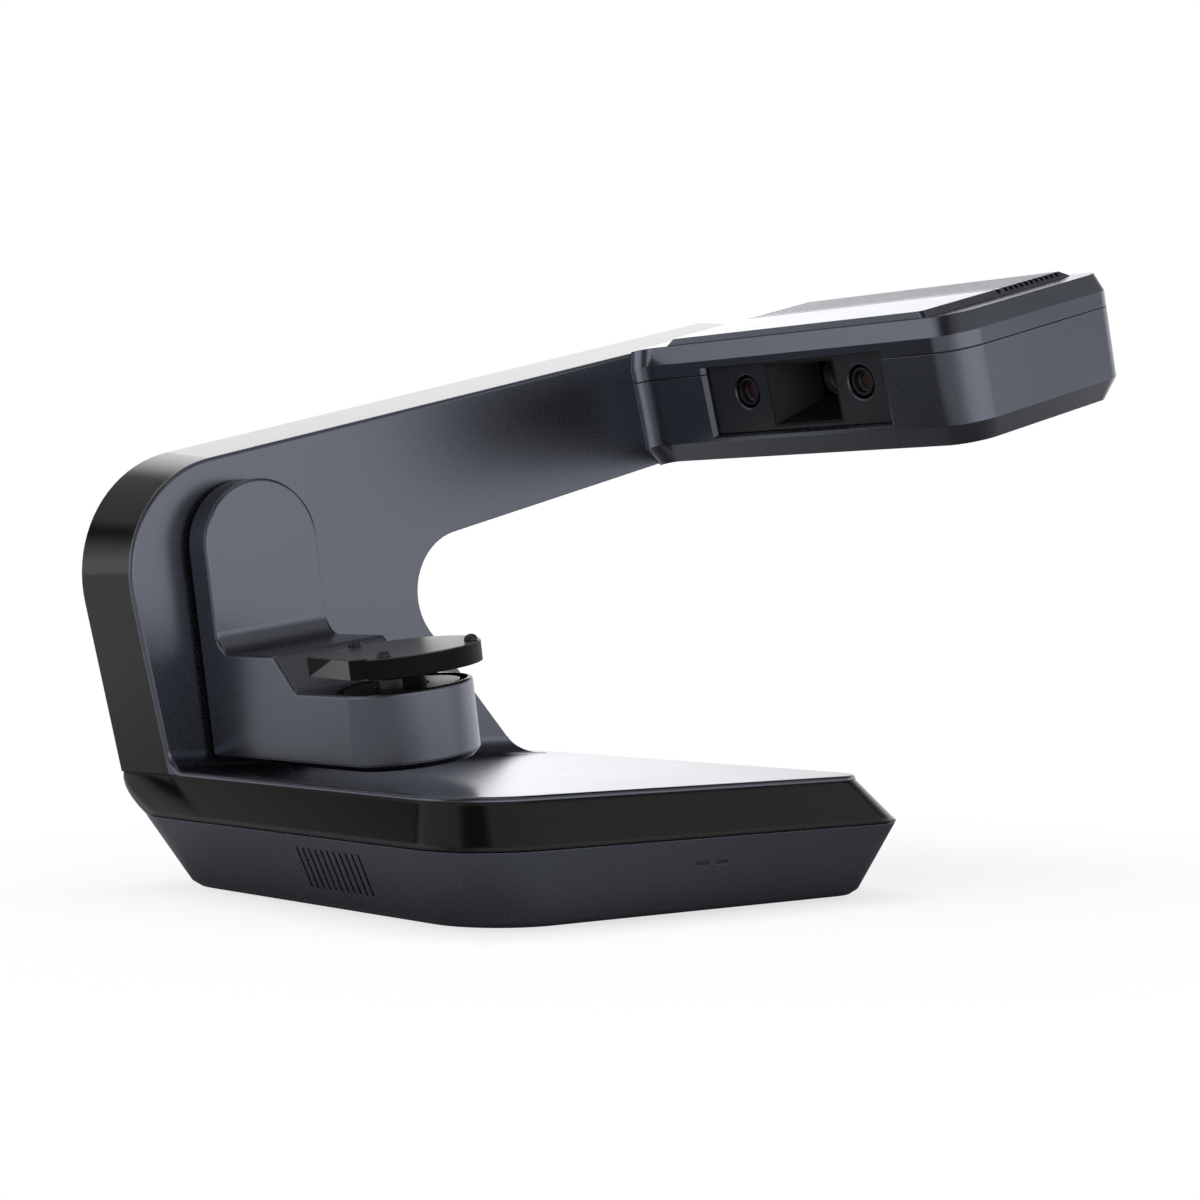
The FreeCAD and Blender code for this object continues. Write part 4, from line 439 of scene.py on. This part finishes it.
def make_floor():
    """Pale floor: it keeps the soft shadow near the object and fades to plain white.

    Mirrored, it is a darker grey near the object, a painted shade over its real shadow, white far from it,
    and dim on its dark side.
    """
    mesh = bpy.data.meshes.new("floor")
    corners = [(x * FLOOR_HALF, y * FLOOR_HALF, 0) for x, y in ((-1, -1), (1, -1), (1, 1), (-1, 1))]
    mesh.from_pydata(corners, [], [(0, 1, 2, 3)])
    floor = bpy.data.objects.new("floor", mesh)
    bpy.context.scene.collection.objects.link(floor)

    shader = Shader("pale_floor")
    middle = shader.add("ShaderNodeVectorMath", operation="LENGTH")
    shader.link(shader.coordinates, middle.inputs[0])
    below_head = shader.add("ShaderNodeVectorMath", operation="DISTANCE")
    shader.link(shader.coordinates, below_head.inputs[0])
    below_head.inputs[1].default_value = HEAD_SPOT
    rays = shader.add("ShaderNodeLightPath").outputs
    direct = shader.math("MAXIMUM", rays["Is Camera Ray"], rays["Is Transmission Ray"])
    whiteness = shader.span(middle.outputs["Value"], *WHITE_RANGE)
    looked_at = shader.math("MULTIPLY", direct, whiteness)
    mirrored = shader.span(below_head.outputs["Value"], *MIRROR_RANGE)
    mirrored = shader.math("MULTIPLY", rays["Is Glossy Ray"], mirrored)
    mirrored = shader.math("MULTIPLY", mirrored, shader.dimmed_side(FLOOR_DARK_SIDE))
    # painted shade: mirrored rays see the floor in a darker grey near the head
    grey = shader.add("ShaderNodeMix")
    shader.link(rays["Is Glossy Ray"], grey.inputs["Factor"])
    grey.inputs["A"].default_value = FLOOR_GREY
    shader.link(shader.span(below_head.outputs["Value"], *MIRROR_PAINTED_SHADE_RANGE), grey.inputs["B"])
    matt = shader.add("ShaderNodeBsdfDiffuse")
    shader.link(grey.outputs["Result"], matt.inputs["Color"])
    white = shader.add("ShaderNodeEmission")
    white.inputs["Color"].default_value = WHITE
    mix = shader.add("ShaderNodeMixShader")
    shader.link(shader.math("MAXIMUM", looked_at, mirrored), mix.inputs["Fac"])
    shader.link(matt.outputs["BSDF"], mix.inputs[1])
    shader.link(white.outputs["Emission"], mix.inputs[2])
    shader.link(mix.outputs["Shader"], shader.output.inputs["Surface"])
    shader.material.cycles.emission_sampling = "NONE"
    mesh.materials.append(shader.material)


class WorldLight:
    """Brightness of the studio by direction, built from soft round patches."""

    def __init__(self, tree):
        self.tree = tree
        self.direction = tree.nodes.new("ShaderNodeTexCoord").outputs["Generated"]

    def math(self, operation, a, b):
        node = self.tree.nodes.new("ShaderNodeMath")
        node.operation = operation
        for socket, value in zip(node.inputs, (a, b)):
            if isinstance(value, bpy.types.NodeSocket):
                self.tree.links.new(value, socket)
            else:
                socket.default_value = value
        return node.outputs["Value"]

    def horizon(self, low, high, level):
        """Full brightness near the horizon, falling to a level between two elevations."""
        split = self.tree.nodes.new("ShaderNodeSeparateXYZ")
        self.tree.links.new(self.direction, split.inputs[0])
        ramp = self.tree.nodes.new("ShaderNodeMapRange")
        ramp.interpolation_type = "SMOOTHSTEP"
        ramp.inputs["From Min"].default_value = math.sin(math.radians(low))
        ramp.inputs["From Max"].default_value = math.sin(math.radians(high))
        ramp.inputs["To Min"].default_value = 1.0
        ramp.inputs["To Max"].default_value = level
        self.tree.links.new(split.outputs["Z"], ramp.inputs["Value"])
        return ramp.outputs["Result"]

    def patch(self, azimuth, elevation, outer, inner, amount):
        """Soft patch round a direction; it falls off between an inner and an outer angle."""
        a, e = math.radians(azimuth), math.radians(elevation)
        level = math.cos(e)
        dot = self.tree.nodes.new("ShaderNodeVectorMath")
        dot.operation = "DOT_PRODUCT"
        self.tree.links.new(self.direction, dot.inputs[0])
        dot.inputs[1].default_value = (math.cos(a) * level, math.sin(a) * level, math.sin(e))
        ramp = self.tree.nodes.new("ShaderNodeMapRange")
        ramp.interpolation_type = "SMOOTHSTEP"
        ramp.inputs["From Min"].default_value = math.cos(math.radians(outer))
        ramp.inputs["From Max"].default_value = math.cos(math.radians(inner))
        ramp.inputs["To Max"].default_value = amount
        self.tree.links.new(dot.outputs["Value"], ramp.inputs["Value"])
        return ramp.outputs["Result"]


# Each patch: azimuth and elevation, outer and inner angle, all in degrees, and added brightness.
STUDIO = [
    (196.0, 0.0, 36.0, 14.0, -0.84),
    (120.0, 14.0, 14.0, 6.0, -0.6),
    (218.0, 50.0, 22.0, 10.0, -0.33),
    (10.0, 46.0, 26.0, 12.0, -0.33),
    (62.0, 24.0, 28.0, 8.0, 1.35),
    (264.0, 0.0, 26.0, 8.0, 0.2),
    (326.0, 4.0, 17.0, 5.0, -0.5),
    (5.0, 4.0, 22.0, 6.0, 0.2),
]
# Full brightness up to the first elevation, the given level from the second.
HORIZON = (11.0, 27.0, 0.33)


def make_world():
    """White where it is looked at, a soft studio where it is mirrored, plain grey as light."""
    world = bpy.data.worlds.new("studio")
    world.use_nodes = True
    tree = world.node_tree
    tree.nodes.clear()
    output = tree.nodes.new("ShaderNodeOutputWorld")
    background = tree.nodes.new("ShaderNodeBackground")
    rays = tree.nodes.new("ShaderNodeLightPath").outputs
    glossy = rays["Is Glossy Ray"]
    studio = WorldLight(tree)
    mirrored = studio.horizon(*HORIZON)
    for patch in STUDIO:
        mirrored = studio.math("ADD", mirrored, studio.patch(*patch))
    mirrored = studio.math("MULTIPLY", studio.math("MAXIMUM", mirrored, 0.0), glossy)
    direct = studio.math("MAXIMUM", rays["Is Camera Ray"], rays["Is Transmission Ray"])
    other = studio.math("SUBTRACT", 1.0, studio.math("MAXIMUM", direct, glossy))
    strength = studio.math("ADD", studio.math("MULTIPLY", other, WORLD_LEVEL), mirrored)
    strength = studio.math("ADD", strength, direct)
    tree.links.new(strength, background.inputs["Strength"])
    background.inputs["Color"].default_value = WHITE
    tree.links.new(background.outputs["Background"], output.inputs["Surface"])
    world.cycles.sampling_method = "NONE"
    bpy.context.scene.world = world


# Each softbox: name, place, the point it faces, width and height in metres, and watts.
SOFTBOXES = [
    ("overhead", (0.1, 0.3, 1.6), (0.0, 0.0, 0.1), 1.6, 1.2, 14.0),
    ("left", (-1.5, -0.3, 0.7), (0.0, 0.0, 0.15), 0.9, 1.2, 7.0),
    ("right", (1.2, -1.4, 0.9), (0.0, 0.0, 0.15), 0.8, 1.2, 7.0),
]


def softbox(name, spot, target, width, height, watts):
    """Area lamp that lights surfaces and isn't mirrored in them."""
    data = bpy.data.lights.new(name, "AREA")
    data.shape = "RECTANGLE"
    data.size = width
    data.size_y = height
    data.energy = watts
    lamp = bpy.data.objects.new(name, data)
    lamp.location = spot
    lamp.rotation_mode = "QUATERNION"
    lamp.rotation_quaternion = (Vector(target) - Vector(spot)).to_track_quat("-Z", "Y")
    lamp.visible_glossy = False
    bpy.context.scene.collection.objects.link(lamp)


# ---------------------------------------------------------------- the whole scene

make_camera()
make_world()
make_floor()
for lamp in SOFTBOXES:
    softbox(*lamp)
dress_frame()
dress_platter()
blacken_tray()
make_optics()

bpy.context.scene.view_settings.view_transform = "Standard"
